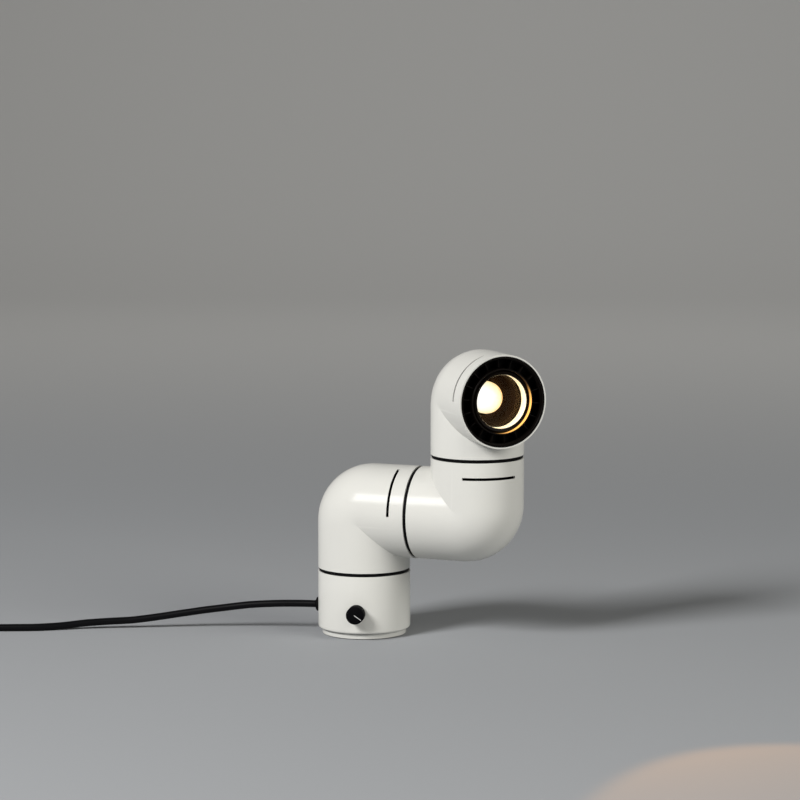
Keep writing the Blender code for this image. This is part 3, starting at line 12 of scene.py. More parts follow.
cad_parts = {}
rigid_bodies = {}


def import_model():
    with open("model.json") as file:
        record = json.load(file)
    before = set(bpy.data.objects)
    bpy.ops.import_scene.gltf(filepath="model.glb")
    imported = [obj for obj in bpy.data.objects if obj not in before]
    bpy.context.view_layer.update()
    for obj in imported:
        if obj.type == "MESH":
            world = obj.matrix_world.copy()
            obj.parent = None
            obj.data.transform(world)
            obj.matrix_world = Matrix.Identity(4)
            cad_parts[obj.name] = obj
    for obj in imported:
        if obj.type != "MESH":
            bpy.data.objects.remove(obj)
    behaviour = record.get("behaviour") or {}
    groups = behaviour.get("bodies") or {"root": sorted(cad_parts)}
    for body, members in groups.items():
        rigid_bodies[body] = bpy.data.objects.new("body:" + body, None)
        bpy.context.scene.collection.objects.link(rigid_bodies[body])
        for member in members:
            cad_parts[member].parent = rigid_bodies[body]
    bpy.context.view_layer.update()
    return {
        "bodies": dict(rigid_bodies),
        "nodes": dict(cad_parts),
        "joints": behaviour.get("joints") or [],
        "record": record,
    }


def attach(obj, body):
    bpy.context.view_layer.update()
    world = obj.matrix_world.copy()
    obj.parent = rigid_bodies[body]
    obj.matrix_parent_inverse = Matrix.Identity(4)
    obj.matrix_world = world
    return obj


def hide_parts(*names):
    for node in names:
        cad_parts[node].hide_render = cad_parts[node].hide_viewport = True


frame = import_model()

bl_info = {
    "name": "Elbow tube lamp",
    "version": (1, 0, 0),
    "blender": (4, 5, 0),
    "location": "3D View > Sidebar > Lamp",
    "description": "Models the lamp's shells, rings, knob, light unit and cord round its solids",
    "category": "Object",
}

QUARTER = math.pi / 2
SAME_POINT = 1e-6  # corners this close together are one
NEAR = 1e-5  # slack in the tests that find edges and faces by their place
SEAT_GAP = 0.0003  # between two pieces that are seated in each other
CUT_PAST = 0.002  # how far a cutter reaches past the wall that it cuts


def length(name, default, description=""):
    return FloatProperty(name=name, description=description, default=default, unit="LENGTH", precision=5)


def colour(name, default, description):
    return FloatVectorProperty(name=name, description=description, default=default, subtype="COLOR", size=3)


class LampTubeSizes(bpy.types.PropertyGroup):
    """Sizes of the shells and of the seams between them."""

    radius: length("Tube radius", 0.0400, "Outside radius of the base and the elbows")
    wall: length("Wall", 0.0016, "Thickness of the moulded shells")
    bend: length("Bend radius", 0.0095, "Radius of an elbow's bend at its centreline")
    leg: length("Leg", 0.0505, "From an elbow's corner to its end")
    mouth_leg: length("Mouth leg", 0.0519, "From the head's corner to its mouth")
    seam: length("Seam", 0.0030, "Height of the gap that shows a black ring")
    ring_recess: length("Ring recess", 0.00095, "How far a black ring stands back")
    base_top: length("Base height", 0.0552, "From the table to the first seam")
    base_bottom: length("Shell bottom", 0.0051, "From the table to the base shell's lower edge")
    edge: length("Edge radius", 0.0025, "Rounding of the base shell's lower edge")
    lip: length("Lip radius", 0.0002, "Rounding of the tubes' ends")
    slot_width: length("Slot width", 0.0023)
    slot_setback: length("Slot setback", 0.0124, "From a vent slot to the end of its leg")
    control_height: length("Control height", 0.0238, "From the table to the knob's and the cord's centres")
    facets: IntProperty(name="Facets", description="Sides of the round shells", default=96, min=24)


class LampKnobSizes(bpy.types.PropertyGroup):
    """Sizes of the dimmer knob."""

    radius: length("Radius", 0.0077, "Outside radius of the knob")
    depth: length("Length", 0.0105, "From the knob's back to its face")
    standoff: length("Standoff", 0.0010, "Gap between the base and the knob")
    chamfer: length("Chamfer", 0.0006, "Width of the rim's chamfer")
    pointer_length: length("Pointer length", 0.0072)
    pointer_width: length("Pointer width", 0.0005)
    pointer_angle: FloatProperty(
        name="Pointer angle",
        description="Clockwise from twelve o'clock",
        default=math.radians(125),
        subtype="ANGLE",
    )


class LampLightSizes(bpy.types.PropertyGroup):
    """Sizes of the light unit, as radii and as depths behind the mouth."""

    baffle_depth: length("Baffle depth", 0.0010, "From the mouth to the baffle")
    baffle_length: length("Baffle length", 0.0130)
    hub_radius: length("Hub radius", 0.0270, "Inside radius of the baffle's hub")
    rib_depth: length("Rib depth", 0.0035, "From the mouth to the ribs' front edges")
    rib_thickness: length("Rib thickness", 0.0008)
    rib_count: IntProperty(name="Ribs", description="Number of ribs round the baffle", default=18, min=4)
    rim_radius: length("Bezel rim", 0.0260, "Radius of the bezel's front edge")
    throat_radius: length("Bezel throat", 0.0227, "Radius where the bezel meets the lens")
    throat_depth: length("Throat depth", 0.0027, "From the mouth to the bezel's throat")
    throat_length: length("Throat length", 0.0093, "Length of the bezel's throat, down to the lens")
    lens_radius: length("Lens radius", 0.0245)
    lens_thickness: length("Lens thickness", 0.0030, "Thickness of the glass at its rim")
    crown: length("Crown", 0.0010, "Height of the glass's curve")
    tube_end: length("Reflector depth", 0.0372, "From the mouth to the reflector's back")
    bulb_radius: length("Bulb radius", 0.0132)
    bulb_depth: length("Bulb depth", 0.0210, "From the mouth to the bulb's front")
    bulb_neck: length("Bulb neck", 0.0650, "From the mouth to the bulb's cap")
    cap_radius: length("Cap radius", 0.0070)
    cap_length: length("Cap length", 0.0140)


class LampCordSizes(bpy.types.PropertyGroup):
    """Sizes of the mains cord, of its put-away coil and of its plug."""

    diameter: length("Diameter", 0.0063, "Outside diameter of the sheath")
    coil_radius: length("Coil radius", 0.0255, "Radius of the coil's innermost turn")
    pitch: length("Coil pitch", 0.00685, "From one turn of the coil to the next")
    turns: FloatProperty(name="Turns", description="Turns of cord in the coil", default=6.25, min=1)
    tail: length("Tail", 0.0450, "From the coil to the plug")
    plug_width: length("Plug width", 0.0353)
    plug_thickness: length("Plug thickness", 0.0137)
    plug_length: length("Plug length", 0.0360, "Length of the plug's body")
    boot_length: length("Boot length", 0.0220)


class LampColours(bpy.types.PropertyGroup):
    """Colours that a user would change."""

    shell: colour("Shell", (0.718, 0.714, 0.673), "Warm white of the moulded shells")
    # The black also paints the lower two elbows' vent-slot walls as painted shade.
    black: colour("Black parts", (0.004, 0.004, 0.0045), "Rings, gland, knob and the shells' lining")
    sheath: colour("Cord", (0.004, 0.004, 0.0048), "Sheath of the mains cord")
    glow: colour("Light", (1.0, 0.50, 0.10), "Colour of the lit bulb's edge")
    beam: colour("Beam", (1.0, 0.45, 0.08), "Colour of the light that the lamp throws")
    floor: colour("Floor", (0.357, 0.369, 0.385), "Studio floor")
    # The backdrop colour paints the sweep lighter as it rises behind the floor: painted light on the one
    # paper.
    backdrop: colour("Backdrop", (0.655, 0.655, 0.645), "Studio backdrop behind the floor")


def settings(group):
    """One of the property groups: tubes, knob, light, cord or colours."""
    return getattr(bpy.context.scene, "lamp_" + group)


# Modelling


def begin():
    """Leaves edit mode and selects nothing."""
    if bpy.context.object and bpy.context.object.mode != "OBJECT":
        bpy.ops.object.mode_set(mode="OBJECT")
    bpy.ops.object.select_all(action="DESELECT")


def take(piece):
    """Makes a piece the only one selected, in object mode."""
    begin()
    bpy.context.view_layer.objects.active = piece
    piece.select_set(True)


def adjust(thing, **options):
    for option, value in options.items():
        setattr(thing, option, value)
    return thing


def named(name):
    made = bpy.context.object
    made.name = name
    made.data.name = name
    return made


def added(name, data, place=Matrix(), parent=None):
    """A new object of the scene at its place."""
    made = bpy.data.objects.new(name, data)
    bpy.context.scene.collection.objects.link(made)
    made.parent = parent
    made.matrix_world = place
    return made


def move(piece, place):
    """Moves a piece that stands at the origin, with its place in its mesh."""
    take(piece)
    piece.matrix_world = place
    bpy.ops.object.transform_apply(location=True, rotation=True, scale=True)
    return piece


def settle(piece, place, angle=32):
    """Moves a finished piece to its place and smooths it."""
    move(piece, place)
    bpy.ops.object.shade_smooth_by_angle(angle=math.radians(angle))


def select_all():
    bpy.ops.mesh.select_all(action="SELECT")


def pick(piece, test, kind="EDGE", rim=False):
    """Selects the corners or edges of the piece in edit mode whose middle passes a test, and with rim only
    those edges that one face has."""
    shape = bmesh.from_edit_mesh(piece.data)
    bpy.ops.mesh.select_mode(type=kind)
    bpy.ops.mesh.select_all(action="DESELECT")
    if kind == "VERT":
        for corner in shape.verts:
            corner.select = test(corner.co)
    else:
        for edge in shape.edges:
            taken = len(edge.link_faces) == 1 or not rim
            edge.select = taken and test((edge.verts[0].co + edge.verts[1].co) / 2)
    shape.select_flush_mode()
    bmesh.update_edit_mesh(piece.data)


def draw_line(name, points, closed=False):
    """A line of corners drawn by extruding one corner from point to point. It stays in edit mode."""
    begin()
    bpy.ops.mesh.primitive_plane_add(size=0.001)
    piece = named(name)
    bpy.ops.object.mode_set(mode="EDIT")
    bpy.ops.mesh.select_mode(type="VERT")
    select_all()
    bpy.ops.mesh.merge(type="CENTER")
    bpy.ops.transform.translate(value=points[0])
    for here, there in zip(points, points[1:]):
        step = Vector(there) - Vector(here)
        bpy.ops.mesh.extrude_vertices_move(TRANSFORM_OT_translate={"value": step})
    if closed:
        ends = (Vector(points[0]), Vector(points[-1]))
        pick(piece, lambda co: min((co - end).length for end in ends) < SAME_POINT, "VERT")
        bpy.ops.mesh.edge_face_add()
    return piece


def draw_face(name, points):
    """A flat face inside a closed line. It stays in edit mode, all selected."""
    piece = draw_line(name, points, True)
    select_all()
    bpy.ops.mesh.edge_face_add()
    return piece


def clean_up():
    """Joins the piece's corners that fall together and turns all its faces outward."""
    bpy.ops.mesh.select_mode(type="VERT")
    select_all()
    bpy.ops.mesh.remove_doubles(threshold=SAME_POINT)
    bpy.ops.mesh.normals_make_consistent(inside=False)


def close_up():
    """Cleans the piece up and leaves edit mode."""
    clean_up()
    begin()


def extrude(*step):
    bpy.ops.mesh.extrude_region_move(TRANSFORM_OT_translate={"value": step})


def trim(point, normal):
    """Cuts off what the piece in edit mode has beyond a plane."""
    select_all()
    bpy.ops.mesh.bisect(plane_co=point, plane_no=normal, clear_outer=True)


def apply_modifier(piece, kind, **options):
    take(piece)
    change = adjust(piece.modifiers.new(kind.lower(), kind), **options)
    bpy.ops.object.modifier_apply(modifier=change.name)


def soften(piece, width, segments=2, angle=35):
    """Rounds a piece's sharp edges."""
    limit = {"limit_method": "ANGLE", "angle_limit": math.radians(angle)}
    apply_modifier(piece, "BEVEL", width=width, segments=segments, use_clamp_overlap=True, **limit)


def cut(piece, cutter):
    apply_modifier(piece, "BOOLEAN", object=cutter, operation="DIFFERENCE", solver="EXACT")
    bpy.data.objects.remove(cutter, do_unlink=True)


def turn(name, outline, steps=None):
    """A piece turned about +Z from its outline of (radius, height) points. One that starts and ends on the
    axis is solid, and any other is closed to a ring."""
    solid = outline[0][0] == 0 and outline[-1][0] == 0
    piece = draw_line(name, [(radius, 0, height) for radius, height in outline], not solid)
    select_all()
    steps = steps or settings("tubes").facets
    bpy.ops.mesh.spin(steps=steps, angle=math.tau, center=(0, 0, 0), axis=(0, 0, 1))
    close_up()
    return piece


def slab(name, outline, low, high, edge=0.0, segments=2):
    """A flat outline in XY raised between two heights."""
    piece = draw_face(name, [(x, y, low) for x, y in outline])
    extrude(0, 0, high - low)
    close_up()
    if edge:
        soften(piece, edge, segments)
    return piece


def rod(name, radius, low, high, place, sides=48):
    """A plain round bar, for holes and pins."""
    begin()
    bpy.ops.mesh.primitive_cylinder_add(vertices=sides, radius=radius, depth=high - low)
    return move(named(name), place @ Matrix.Translation((0, 0, (low + high) / 2)))


def merged(name, parts):
    """Several loose bodies as one piece."""
    begin()
    for part in parts:
        part.select_set(True)
    bpy.context.view_layer.objects.active = parts[0]
    bpy.ops.object.join()
    return named(name)


def arc(centre, radius, first, last, steps):
    angles = [first + (last - first) * k / steps for k in range(steps + 1)]
    return [(centre[0] + radius * math.cos(a), centre[1] + radius * math.sin(a)) for a in angles]


def oblong(left, right, low, high):
    return [(left, low), (right, low), (right, high), (left, high)]


def spread(route, step):
    """Points about a step apart along the smooth curve through a route's points."""
    route = [Vector(point) for point in route]
    ends = [2 * route[0] - route[1], *route, 2 * route[-1] - route[-2]]
    line = []
    for before, here, there, after in zip(ends, ends[1:], ends[2:], ends[3:]):
        parts = max(1, round((there - here).length / step))
        for part in range(parts):
            t = part / parts
            bend = 2 * before - 5 * here + 4 * there - after
            twist = 3 * here - before - 3 * there + after
            line.append(0.5 * (2 * here + (there - before) * t + bend * t**2 + twist * t**3))
    return [*line, route[-1]]


def off_axis(face):
    """How far a face's middle is from the axis of a turned piece."""
    return math.hypot(*face.center.xy)


def dress(piece, body, slot, *nodes, look=None):
    """Gives a piece its finish, lets it ride on its body and hides the solids that it stands for."""
    piece.data.materials.append(LOOKS[look or SLOT_LOOKS.get(slot, slot)])
    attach(piece, body)
    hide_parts(*nodes)


def finished(piece, place, body, slot, node_name, look=None, angle=32, lined=None):
    """Settles and dresses a piece. Lined is a second look, and a test in the piece's own frame for the faces
    that have it."""
    inside = [face.index for face in piece.data.polygons if lined and lined[1](face)]
    settle(piece, place, angle)
    dress(piece, body, slot, node_name, look=look)
    if lined:
        piece.data.materials.append(LOOKS[lined[0]])
    for index in inside:
        piece.data.polygons[index].material_index = 1


# Places

HEAD_HEADING = math.radians(-57.9)  # the way the mouth faces, from the part's +X


def turn_to(direction, track="Z"):
    return Vector(direction).to_track_quat(track, "Y").to_matrix().to_4x4()


def facing(point, direction):
    """A place at a point, upright and with its X along a level direction."""
    return Matrix.Translation(point) @ Matrix.Rotation(math.atan2(direction[1], direction[0]), 4, "Z")


def frames():
    """Each moving tube's frame, whose Z is the axis that it turns on and which starts at the end of the tube
    that carries it, and the frames of the mouth, the knob and the cord's exit."""
    tubes = settings("tubes")
    tilt = next(joint["axis"] for joint in frame["joints"] if joint["name"] == "middle_swivel")
    corner = tubes.seam + tubes.leg
    lower = facing((0, 0, tubes.base_top), tilt)
    level = Matrix(((0, 0, 1, 0), (0, -1, 0, 0), (1, 0, 0, 0), (0, 0, 0, 1)))
    upper = lower @ Matrix.Translation((tubes.leg, 0, corner)) @ level
    seam = upper @ Vector((tubes.leg, 0, corner))
    head = Matrix.Translation(seam) @ Matrix.Rotation(HEAD_HEADING, 4, "Z")
    control = Matrix.Translation((0, 0, tubes.control_height))
    return {
        "lower_arm": lower,
        "upper_arm": upper,
        "head": head,
        "mouth": head @ Matrix.Translation((tubes.mouth_leg, 0, corner)) @ turn_to((1, 0, 0)),
        "knob": control @ turn_to((0, -1, 0)),
        "cord": control @ turn_to((-1, 0, 0)),
    }


# Materials

LOOKS = {}
# The slots whose look has another name than the slot
SLOT_LOOKS = {"white_plastic": "moulded_white", "black_plastic": "moulded_black"}
# The grain group's inputs, in the order of a finish's values
GRAIN = (
    "Colour", "Tint Spread", "Roughness", "Roughness Spread",
    "Grain Scale", "Bump Distance", "Bump Strength",
)


def feed(made, values):
    """Sets a node's inputs, or joins them to the outputs of other nodes."""
    for label, value in values.items():
        if isinstance(value, bpy.types.NodeSocket):
            made.id_data.links.new(value, made.inputs[label])
        else:
            made.inputs[label].default_value = value


def node(tree, kind, values=None, **options):
    made = adjust(tree.nodes.new(kind), **options)
    feed(made, values or {})
    return made


def calculate(operation, first, second, clamp=False):
    """The result of a sum whose first number is another node's output."""
    options = {"operation": operation, "use_clamp": clamp}
    return node(first.id_data, "ShaderNodeMath", {0: first, 1: second}, **options).outputs[0]


def coordinates(tree):
    return node(tree, "ShaderNodeTexCoord").outputs["Object"]


def grain_group():
    """Fine moulded or cast grain: uneven tint, uneven gloss and a shallow bump."""
    number, tint = "NodeSocketFloat", "NodeSocketColor"
    tree = bpy.data.node_groups.new("surface_grain", "ShaderNodeTree")
    for label in GRAIN:
        kind = tint if label == "Colour" else number
        tree.interface.new_socket(name=label, in_out="INPUT", socket_type=kind)
    for label, kind in (("Colour", tint), ("Roughness", number), ("Normal", "NodeSocketVector")):
        tree.interface.new_socket(name=label, in_out="OUTPUT", socket_type=kind)
    given = node(tree, "NodeGroupInput").outputs
    place = coordinates(tree)
    fine = node(tree, "ShaderNodeTexNoise", {"Vector": place, "Scale": given["Grain Scale"], "Detail": 3})
    broad = node(tree, "ShaderNodeTexNoise", {"Vector": place, "Scale": 35, "Detail": 4})
    sway = calculate("SUBTRACT", broad.outputs["Fac"], 0.5)
    value = calculate("MULTIPLY", sway, given["Tint Spread"])
    value = calculate("ADD", value, 1)
    hue = node(tree, "ShaderNodeHueSaturation", {"Color": given["Colour"], "Value": value})
    rough = calculate("MULTIPLY", sway, given["Roughness Spread"])
    rough = calculate("ADD", rough, given["Roughness"], clamp=True)
    relief = {"Strength": given["Bump Strength"], "Distance": given["Bump Distance"]}
    bump = node(tree, "ShaderNodeBump", {**relief, "Height": fine.outputs["Fac"]})
    ends = {"Colour": hue.outputs["Color"], "Roughness": rough, "Normal": bump.outputs["Normal"]}
    node(tree, "NodeGroupOutput", ends)


def principled(name):
    """A new material with its node tree and its shader."""
    made = bpy.data.materials.new(name)
    made.use_nodes = True
    return made, made.node_tree, made.node_tree.nodes["Principled BSDF"]


def grained(name, tint, *numbers):
    """A finish whose colour, gloss and bump come from the grain group. After its numbers come its shader's
    own inputs."""
    made, tree, shader = principled(name)
    values = dict(zip(GRAIN, ((*tint, 1), *numbers[:-1])))
    grain = node(tree, "ShaderNodeGroup", values, node_tree=bpy.data.node_groups["surface_grain"]).outputs
    feed(shader, {"Base Color": grain["Colour"], "Roughness": grain["Roughness"], "Normal": grain["Normal"]})
    feed(shader, numbers[-1])
    made.diffuse_color = (*tint, 1)
    return made


def make_finishes():
    """Fills LOOKS: each name, then its values for the grain group, then the shader's own."""
    grain_group()
    colours = settings("colours")
    shell, black, sheath = colours.shell, colours.black, colours.sheath
    specular, metal = "Specular IOR Level", "Metallic"
    # Painted glow: the bezel's throat wall gets a warm emission that stands in for the bulb's light falling
    # on it; the throat is no lamp.
    lit = {"Emission Color": (1.0, 0.82, 0.48, 1), "Emission Strength": 0.75}
    for name, *finish in (
        ("moulded_white", shell, 0.03, 0.19, 0.05, 1400, 0.00001, 0.1, {specular: 0.09}),
        ("moulded_black", black, 0.3, 0.55, 0.12, 1800, 0.00002, 0.25, {specular: 0.05}),
        ("knob_black", black, 0.3, 0.5, 0.1, 1500, 0.00002, 0.2, {specular: 0.02}),
        ("pointer_white", (0.78, 0.78, 0.76), 0.04, 0.45, 0.1, 1500, 0.00001, 0.1, {}),
        # The lining's black also serves as painted shade on the lower two elbows' slot walls.
        ("black_lining", black, 0.3, 0.75, 0.1, 900, 0.00004, 0.3, {specular: 0.2}),
        ("pad_rubber", (0.02, 0.02, 0.02), 0.4, 0.85, 0.1, 900, 0.0001, 0.6, {}),
        ("cord_sheath", sheath, 0.3, 0.4, 0.12, 1200, 0.00003, 0.3, {specular: 0.09}),
        ("cast_iron", (0.09, 0.09, 0.095), 0.5, 0.7, 0.2, 500, 0.0003, 0.8, {metal: 0.6}),
        ("plated_steel", (0.6, 0.6, 0.62), 0.1, 0.28, 0.12, 900, 0.00003, 0.2, {metal: 1.0}),
        ("nickel_brass", (0.75, 0.69, 0.54), 0.1, 0.25, 0.1, 900, 0.00003, 0.2, {metal: 1.0}),
        ("copper_winding", (0.5, 0.19, 0.07), 0.4, 0.4, 0.1, 700, 0.0002, 0.6, {metal: 0.7}),
        ("capacitor_yellow", (0.62, 0.42, 0.06), 0.1, 0.45, 0.1, 900, 0.00003, 0.3, {}),
        ("circuit_board", (0.03, 0.16, 0.06), 0.3, 0.4, 0.1, 700, 0.00005, 0.4, {}),
        ("ivory_thermoset", (0.66, 0.62, 0.52), 0.08, 0.45, 0.1, 1100, 0.00003, 0.3, {}),
        ("wire_sleeve", (0.6, 0.59, 0.55), 0.15, 0.6, 0.1, 2600, 0.0001, 0.7, {}),
        ("bezel_black", (0.004, 0.0027, 0.002), 0.2, 0.36, 0.05, 900, 0.00001, 0.1, {specular: 0.04}),
        ("baffle_black", (0.003, 0.002, 0.0015), 0.3, 0.42, 0.1, 1500, 0.00002, 0.2, {specular: 0.07}),
        # Painted highlight and glow on the baffle hub's lip; its emission is added after this table.
        ("lit_edge", (0.2, 0.1, 0.04), 0.1, 0.35, 0.05, 900, 0.00001, 0.1, {}),
        ("throat_white", (0.6, 0.55, 0.46), 0.05, 0.3, 0.05, 900, 0.00001, 0.1, lit),
        ("gloss_black", (0.009, 0.005, 0.0024), 0.3, 0.42, 0.05, 300, 0.00001, 0.03, {specular: 0.02}),
    ):
        LOOKS[name] = grained(name, *finish)
    paint_glow_one_side(LOOKS["lit_edge"])
    LOOKS["clear_glass"] = glass_finish()
    LOOKS["opal_bulb"] = opal_finish()


def glass_finish():
    """Clear glass with a faint warm coating."""
    made, _tree, shader = principled("clear_glass")
    body = {"Base Color": (0.97, 0.98, 0.98, 1), "Roughness": 0.0, "IOR": 1.45}
    feed(shader, {**body, "Transmission Weight": 1.0, "Specular Tint": (0.40, 0.26, 0.15, 1)})
    return made


def paint_glow_one_side(look):
    """Painted highlight and glow: amber emission on the hub's lip, rising towards the side that faces the
    bulb's hot spot; the lip is no lamp.
    """
    mouth = frames()["mouth"]
    side = mouth.to_3x3() @ Vector((0.82, -0.57, 0))
    centre = side.dot(mouth.translation)
    tree = look.node_tree
    along = node(tree, "ShaderNodeVectorMath", {0: coordinates(tree), 1: side}, operation="DOT_PRODUCT")
    rise = {"Value": along.outputs["Value"], "From Min": centre + 0.010, "From Max": centre + 0.026}
    reach = node(tree, "ShaderNodeMapRange", {**rise, "To Max": 1.7}, interpolation_type="SMOOTHSTEP")
    light = {"Emission Color": (1.0, 0.50, 0.12, 1), "Emission Strength": reach.outputs["Result"]}
    feed(tree.nodes["Principled BSDF"], light)


def opal_finish():
    """The lit opal glass: white at its hot spot, amber at its edge, dark behind the reflector's back, and
    stronger in the light that it throws than where it is seen."""
    light, mouth = settings("light"), frames()["mouth"]
    axis = mouth.to_3x3() @ Vector((0, 0, 1))
    hot_spot = mouth @ Vector((-0.0135, 0.0020, -light.bulb_depth - 0.0040))
    seen, thrown = 1.12, 8.0
    made, tree, shader = principled("opal_bulb")
    place = coordinates(tree)
    along = node(tree, "ShaderNodeVectorMath", {0: place, 1: axis}, operation="DOT_PRODUCT").outputs["Value"]
    front = calculate("GREATER_THAN", along, axis.dot(mouth.translation) - light.tube_end)
    gap = node(tree, "ShaderNodeVectorMath", {0: place, 1: hot_spot}, operation="DISTANCE").outputs["Value"]
    away = node(tree, "ShaderNodeMapRange", {"Value": gap, "From Min": 0.006, "From Max": 0.027})
    facing_away = node(tree, "ShaderNodeLayerWeight", {"Blend": 0.35}).outputs["Facing"]
    edge = calculate("POWER", facing_away, 2.6)
    fade = calculate("MAXIMUM", away.outputs["Result"], edge)
    ramp = node(tree, "ShaderNodeValToRGB", {"Fac": fade})
    first, last = ramp.color_ramp.elements
    first.color = (1.0, 0.97, 0.90, 1)
    first.position = 0.15
    last.color = (*settings("colours").glow, 1)
    middle = ramp.color_ramp.elements.new(0.55)
    middle.color = (1.0, 0.86, 0.52, 1)
    bounces = node(tree, "ShaderNodeLightPath").outputs["Diffuse Depth"]
    power = node(tree, "ShaderNodeMapRange", {"Value": bounces, "To Min": seen, "To Max": thrown})
    strength = calculate("MULTIPLY", power.outputs["Result"], front)
    feed(shader, {"Base Color": (0.9, 0.86, 0.78, 1), "Roughness": 0.25})
    feed(shader, {"Emission Color": ramp.outputs["Color"], "Emission Strength": strength})
    return made


# Studio

FLOOR_SIZE = 12
BACKDROP_HEIGHT = 6
SWEEP_RADIUS = 3.0
CAMERA_TURN = math.radians(8.8)  # the camera's way round the lamp from -Y, which the studio shares
CAMERA_PLACE = (0.03105, -3.0018, 0.58605)
CAMERA_TILT = 0.1267  # radians down from the level
CAMERA_LENS = 157.64
# Name, place, target, size, power and colour, in the studio's frame
STUDIO_LIGHTS = (
    ("key_light", (-1.98, -1.92, 1.97), (0.03, 0, 0.12), 1.0, 113, (1.0, 0.99, 0.98)),
    ("fill_light", (2.50, -1.69, 1.48), (0.03, 0, 0.14), 1.8, 52, (1.0, 0.985, 0.93)),
    ("backdrop_light", (0.45, 2.6, 3.0), (0.55, 4.7, 0.6), 2.0, 20, (1.0, 0.99, 0.97)),
)


def shine(name, kind, power, tint, place, parent=None, **options):
    """A light at its place."""
    lamp = adjust(bpy.data.lights.new(name, kind), energy=power, color=tint, **options)
    added(name, lamp, place, parent)


class LAMP_OT_stage(bpy.types.Operator):
    """Adds the floor, the backdrop, the lights and the camera"""

    bl_idname = "lamp.stage"
    bl_label = "Studio"

    def execute(self, context):
        scene = context.scene
        studio = Matrix.Rotation(CAMERA_TURN, 4, "Z")
        begin()
        bpy.ops.mesh.primitive_plane_add(size=FLOOR_SIZE)
        floor = named("studio_floor")
        bpy.ops.object.mode_set(mode="EDIT")
        pick(floor, lambda co: co.y > 0)
        extrude(0, 0, BACKDROP_HEIGHT)
        pick(floor, lambda co: co.y > 0 and abs(co.z) < NEAR)
        bpy.ops.mesh.bevel(offset=SWEEP_RADIUS, segments=16, affect="EDGES")
        settle(floor, studio, angle=60)
        floor.data.materials.append(studio_paper())

        scene.world = bpy.data.worlds.new("studio_air")
        scene.world.use_nodes = True
        air = scene.world.node_tree
        feed(air.nodes["Background"], {"Color": (1.0, 0.985, 0.95, 1), "Strength": 0.03})
        for name, place, target, size, power, tint in STUDIO_LIGHTS:
            spot = studio @ Vector(place)
            aim = studio @ Vector(target) - spot
            shine(name, "AREA", power, tint, Matrix.Translation(spot) @ turn_to(aim, "-Z"), size=size)
        # The cone of light that the lamp throws turns with its head
        place = frames()["mouth"] @ Matrix.Translation((0, 0, 0.001)) @ turn_to((0, 0, -1))
        cone = {"spot_size": math.radians(58.5), "spot_blend": 0.12, "shadow_soft_size": 0.004}
        shine("lamp_beam", "SPOT", 8.0, settings("colours").beam, place, frame["bodies"]["head"], **cone)

        view = adjust(bpy.data.cameras.new("photo_camera"), lens=CAMERA_LENS, sensor_width=36, clip_end=60)
        spot = studio @ Vector(CAMERA_PLACE)
        place = Matrix.Translation(spot) @ studio @ Matrix.Rotation(QUARTER - CAMERA_TILT, 4, "X")
        scene.camera = added("photo_camera", view, place)
        scene.view_settings.view_transform = "Standard"
        return {"FINISHED"}


def studio_paper():
    """Matt studio paper, painted lighter where it rises behind the floor: painted light, as the floor and
    the backdrop are one paper.
    """
    colours = settings("colours")
    made, tree, shader = principled("studio_paper")
    place = coordinates(tree)
    back = node(tree, "ShaderNodeSeparateXYZ", {"Vector": place}).outputs["Y"]
    # Painted light: the paper's colour ramps from the floor's to the backdrop's along Y.
    rise = {"Value": back, "From Min": 0.5, "From Max": 2.6}
    depth = node(tree, "ShaderNodeMapRange", rise, interpolation_type="SMOOTHSTEP")
    ends = {"A": (*colours.floor, 1), "B": (*colours.backdrop, 1)}
    blend = node(tree, "ShaderNodeMix", {"Factor": depth.outputs["Result"]} | ends, data_type="RGBA")
    grain = node(tree, "ShaderNodeTexNoise", {"Vector": place, "Scale": 600}).outputs["Fac"]
    bump = node(tree, "ShaderNodeBump", {"Height": grain, "Strength": 0.15, "Distance": 0.0003})
    values = {"Base Color": blend.outputs["Result"], "Normal": bump.outputs["Normal"]}
    feed(shader, {**values, "Roughness": 0.9, "Specular IOR Level": 0.1})
    return made


# Cord and plug

RUN_ROUTE = [
    (-0.0430, 0.0000, 0.0238), (-0.0576, 0.0000, 0.0237), (-0.0797, -0.0008, 0.0231),
    (-0.1013, -0.0013, 0.0215), (-0.1224, -0.0024, 0.0187), (-0.1433, -0.0042, 0.0158),
    (-0.1635, -0.0068, 0.0127), (-0.1835, -0.0101, 0.0097), (-0.2032, -0.0138, 0.0073),
    (-0.2238, -0.0183, 0.0063), (-0.2435, -0.0238, 0.0053), (-0.2624, -0.0308, 0.0037),
    (-0.2816, -0.0385, 0.00325), (-0.3020, -0.0431, 0.0032), (-0.3216, -0.0466, 0.0032),
    (-0.3437, -0.0502, 0.0033), (-0.3651, -0.0536, 0.0038), (-0.3760, -0.0553, 0.0038),
]
CORD_STEP = 0.004  # between the points of the cord's line
TURN_STEPS = 32  # points in one turn of the coil
COIL_HEADING = math.radians(188.8)  # the way the cord runs where it enters the coil
LEAD_IN = 0.0065  # the straight stretch at each end of the coil
TIE_THICKNESS = 0.0006
TIE_GAP = 0.0004
TIE_WIDTH = 0.008
TAIL_SWAY = 0.0060
PIN_APART = 0.0093  # from the plug's middle to each pin
GRIP_DEPTH = 0.0004


